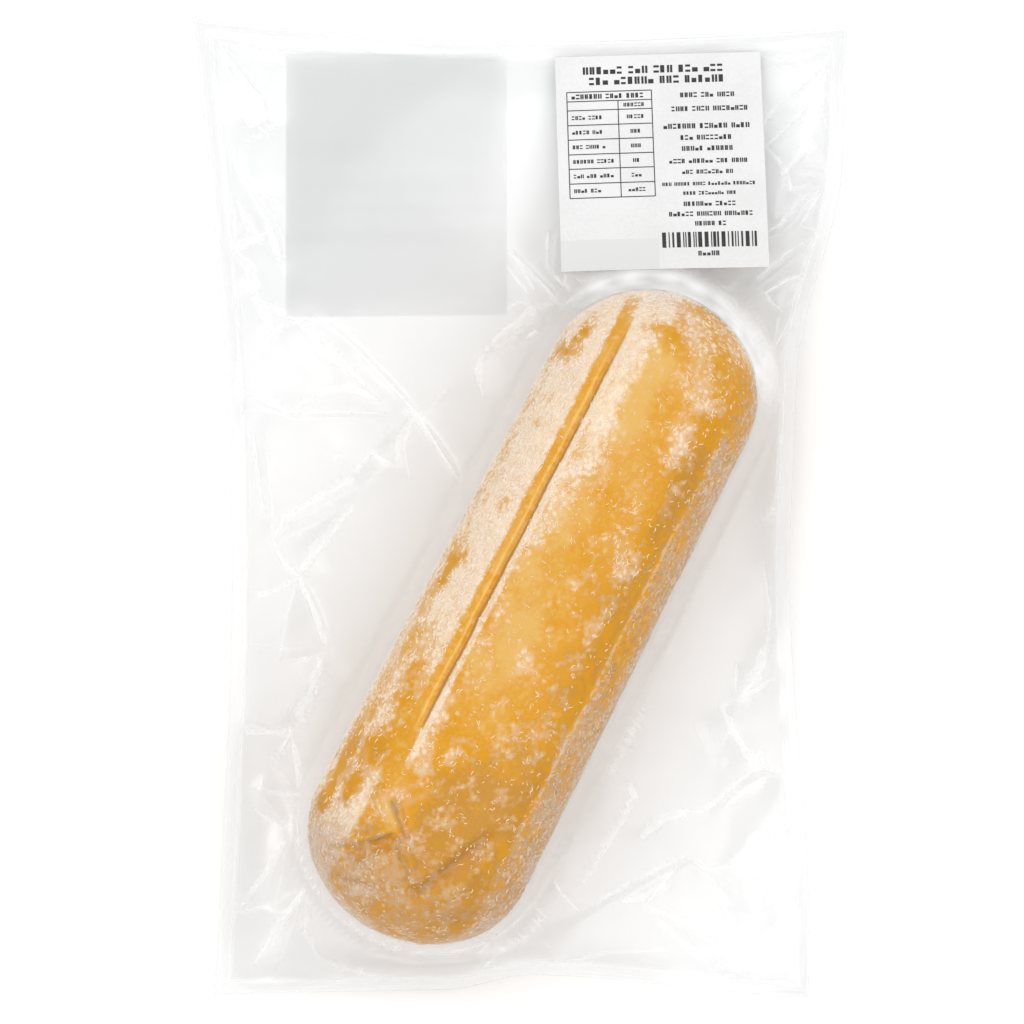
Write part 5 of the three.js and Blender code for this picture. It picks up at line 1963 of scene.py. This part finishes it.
def make_camera():
    """The photograph's camera: straight above, far enough for a nearly flat view."""
    data = bpy.data.cameras.new("camera")
    data.sensor_width = SENSOR
    data.lens = data.sensor_width * EYE[2] / PHOTO_SPAN
    data.clip_start, data.clip_end = 0.01, 20
    camera = bpy.data.objects.new("camera", data)
    camera.location = [c * MM for c in EYE]
    bpy.context.scene.collection.objects.link(camera)
    bpy.context.scene.camera = camera


def make_floor(settings):
    deselect_all()
    bpy.ops.mesh.primitive_plane_add(size=FLOOR_SIDE)
    floor = bpy.context.object
    floor.name = "floor"
    n = Nodes("floor")
    tint = tuple(settings.floor)
    soft = n.mix(n.noise(3, 0), tint, tuple(c * 0.99 for c in tint))
    floor.data.materials.append(n.finish(n.shader("ShaderNodeBsdfDiffuse", Color=soft)))
    floor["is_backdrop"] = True


def make_light(name, azimuth, elevation, width, power):
    """A square light aimed at the middle of the pouch. Azimuth 0 is to the right and 90 towards the top."""
    data = bpy.data.lights.new(name, "AREA")
    data.shape = "SQUARE"
    data.size = width
    data.energy = power
    light = bpy.data.objects.new(name, data)
    a, e = math.radians(azimuth), math.radians(elevation)
    out = LIGHT_DISTANCE * math.cos(e)
    light.location = (out * math.cos(a), out * math.sin(a), LIGHT_DISTANCE * math.sin(e))
    light.rotation_euler = (-light.location).to_track_quat("-Z", "Y").to_euler()
    light.visible_camera = False
    bpy.context.scene.collection.objects.link(light)


def make_surroundings(settings):
    """Even soft light, strongest from high up all round, and weaker overhead, where the camera hangs."""
    n = Nodes("studio", "World")
    split = n.add("ShaderNodeSeparateXYZ")
    n.link(n.add("ShaderNodeTexCoord").outputs["Generated"], split.inputs[0])
    up = split.outputs["Z"]
    around = n.span(up, *RING_SPAN, settings.low, settings.ring)
    overhead = n.span(up, *OVERHEAD_SPAN, 0, settings.overhead - settings.ring)
    light = n.shader("ShaderNodeBackground", Color=(1, 1, 1), Strength=n.math("ADD", around, overhead))
    bpy.context.scene.world = n.finish(light)


# --- operators, panel and registration


class MakeStage(bpy.types.Operator):
    """Add the camera, the floor and the lights"""

    bl_idname = "mozzarella.stage"
    bl_label = "Stage"

    def execute(self, context):
        settings = context.scene.mozzarella_stage
        make_camera()
        make_floor(settings)
        make_surroundings(settings)
        make_light("key", 96, 48, WIDE_LIGHT, settings.key)
        make_light("fill", -20, 50, WIDE_LIGHT, settings.fill)
        for name, (azimuth, elevation) in SMALL_LIGHTS.items():
            make_light(name, azimuth, elevation, SMALL_LIGHT, settings.others)
        context.scene.view_settings.view_transform = "Standard"
        return {"FINISHED"}


class MakeCheeseLog(bpy.types.Operator):
    """Add the cheese log"""

    bl_idname = "mozzarella.log"
    bl_label = "Cheese log"

    def execute(self, context):
        make_cheese_log(context.scene.mozzarella_log)
        return {"FINISHED"}


class MakeFrostCrystals(bpy.types.Operator):
    """Add the frost's crystals on the cheese log"""

    bl_idname = "mozzarella.frost"
    bl_label = "Frost crystals"

    def execute(self, context):
        make_frost_crystals(context.scene.mozzarella_log)
        return {"FINISHED"}


class MakePouchFilm(bpy.types.Operator):
    """Add the clear pouch round the log"""

    bl_idname = "mozzarella.pouch"
    bl_label = "Pouch film"

    def execute(self, context):
        make_pouch_film(context.scene.mozzarella_pouch, context.scene.mozzarella_log)
        return {"FINISHED"}


class MakeLabels(bpy.types.Operator):
    """Add the printed label, its print and the bare label, on the film"""

    bl_idname = "mozzarella.labels"
    bl_label = "Labels"

    def execute(self, context):
        settings = context.scene.mozzarella_labels
        paper = lay_sheet("printed_label", settings.thickness)
        finish_piece(paper, "paper_label", paper_material(settings), ("printed_label",))
        bare = lay_sheet("blank_label", settings.thickness)
        finish_piece(bare, "bare_label", bare_label_material(settings), ("blank_label",))
        make_label_print(settings)
        return {"FINISHED"}


OPERATORS = (MakeStage, MakeCheeseLog, MakeFrostCrystals, MakePouchFilm, MakeLabels)


class MozzarellaPanel(bpy.types.Panel):
    """Lists what can be built"""

    bl_idname = "VIEW3D_PT_mozzarella"
    bl_label = "Smoked mozzarella log"
    bl_space_type = "VIEW_3D"
    bl_region_type = "UI"
    bl_category = "Mozzarella"

    def draw(self, context):
        for operator in OPERATORS:
            self.layout.operator(operator.bl_idname)
        for name, group in SETTINGS.items():
            box = self.layout.box()
            for setting in group.__annotations__:
                box.prop(getattr(context.scene, name), setting)


def register():
    for cls in (*SETTINGS.values(), *OPERATORS, MozzarellaPanel):
        bpy.utils.register_class(cls)
    for name, group in SETTINGS.items():
        setattr(bpy.types.Scene, name, PointerProperty(type=group))


def unregister():
    for name in SETTINGS:
        delattr(bpy.types.Scene, name)
    for cls in reversed((*SETTINGS.values(), *OPERATORS, MozzarellaPanel)):
        bpy.utils.unregister_class(cls)


def write_sizes():
    """Works out the CAD's box and the visual model's box, but keeps neither."""
    boxes = {"cad": CAD_BOX, "visual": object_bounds()}
    {name: [list(corner) for corner in box] for name, box in boxes.items()}


def main():
    register()
    bpy.ops.mozzarella.stage()
    bpy.ops.mozzarella.log()
    bpy.ops.mozzarella.frost()
    bpy.ops.mozzarella.pouch()
    bpy.ops.mozzarella.labels()
    write_sizes()


if __name__ == "__main__":
    main()
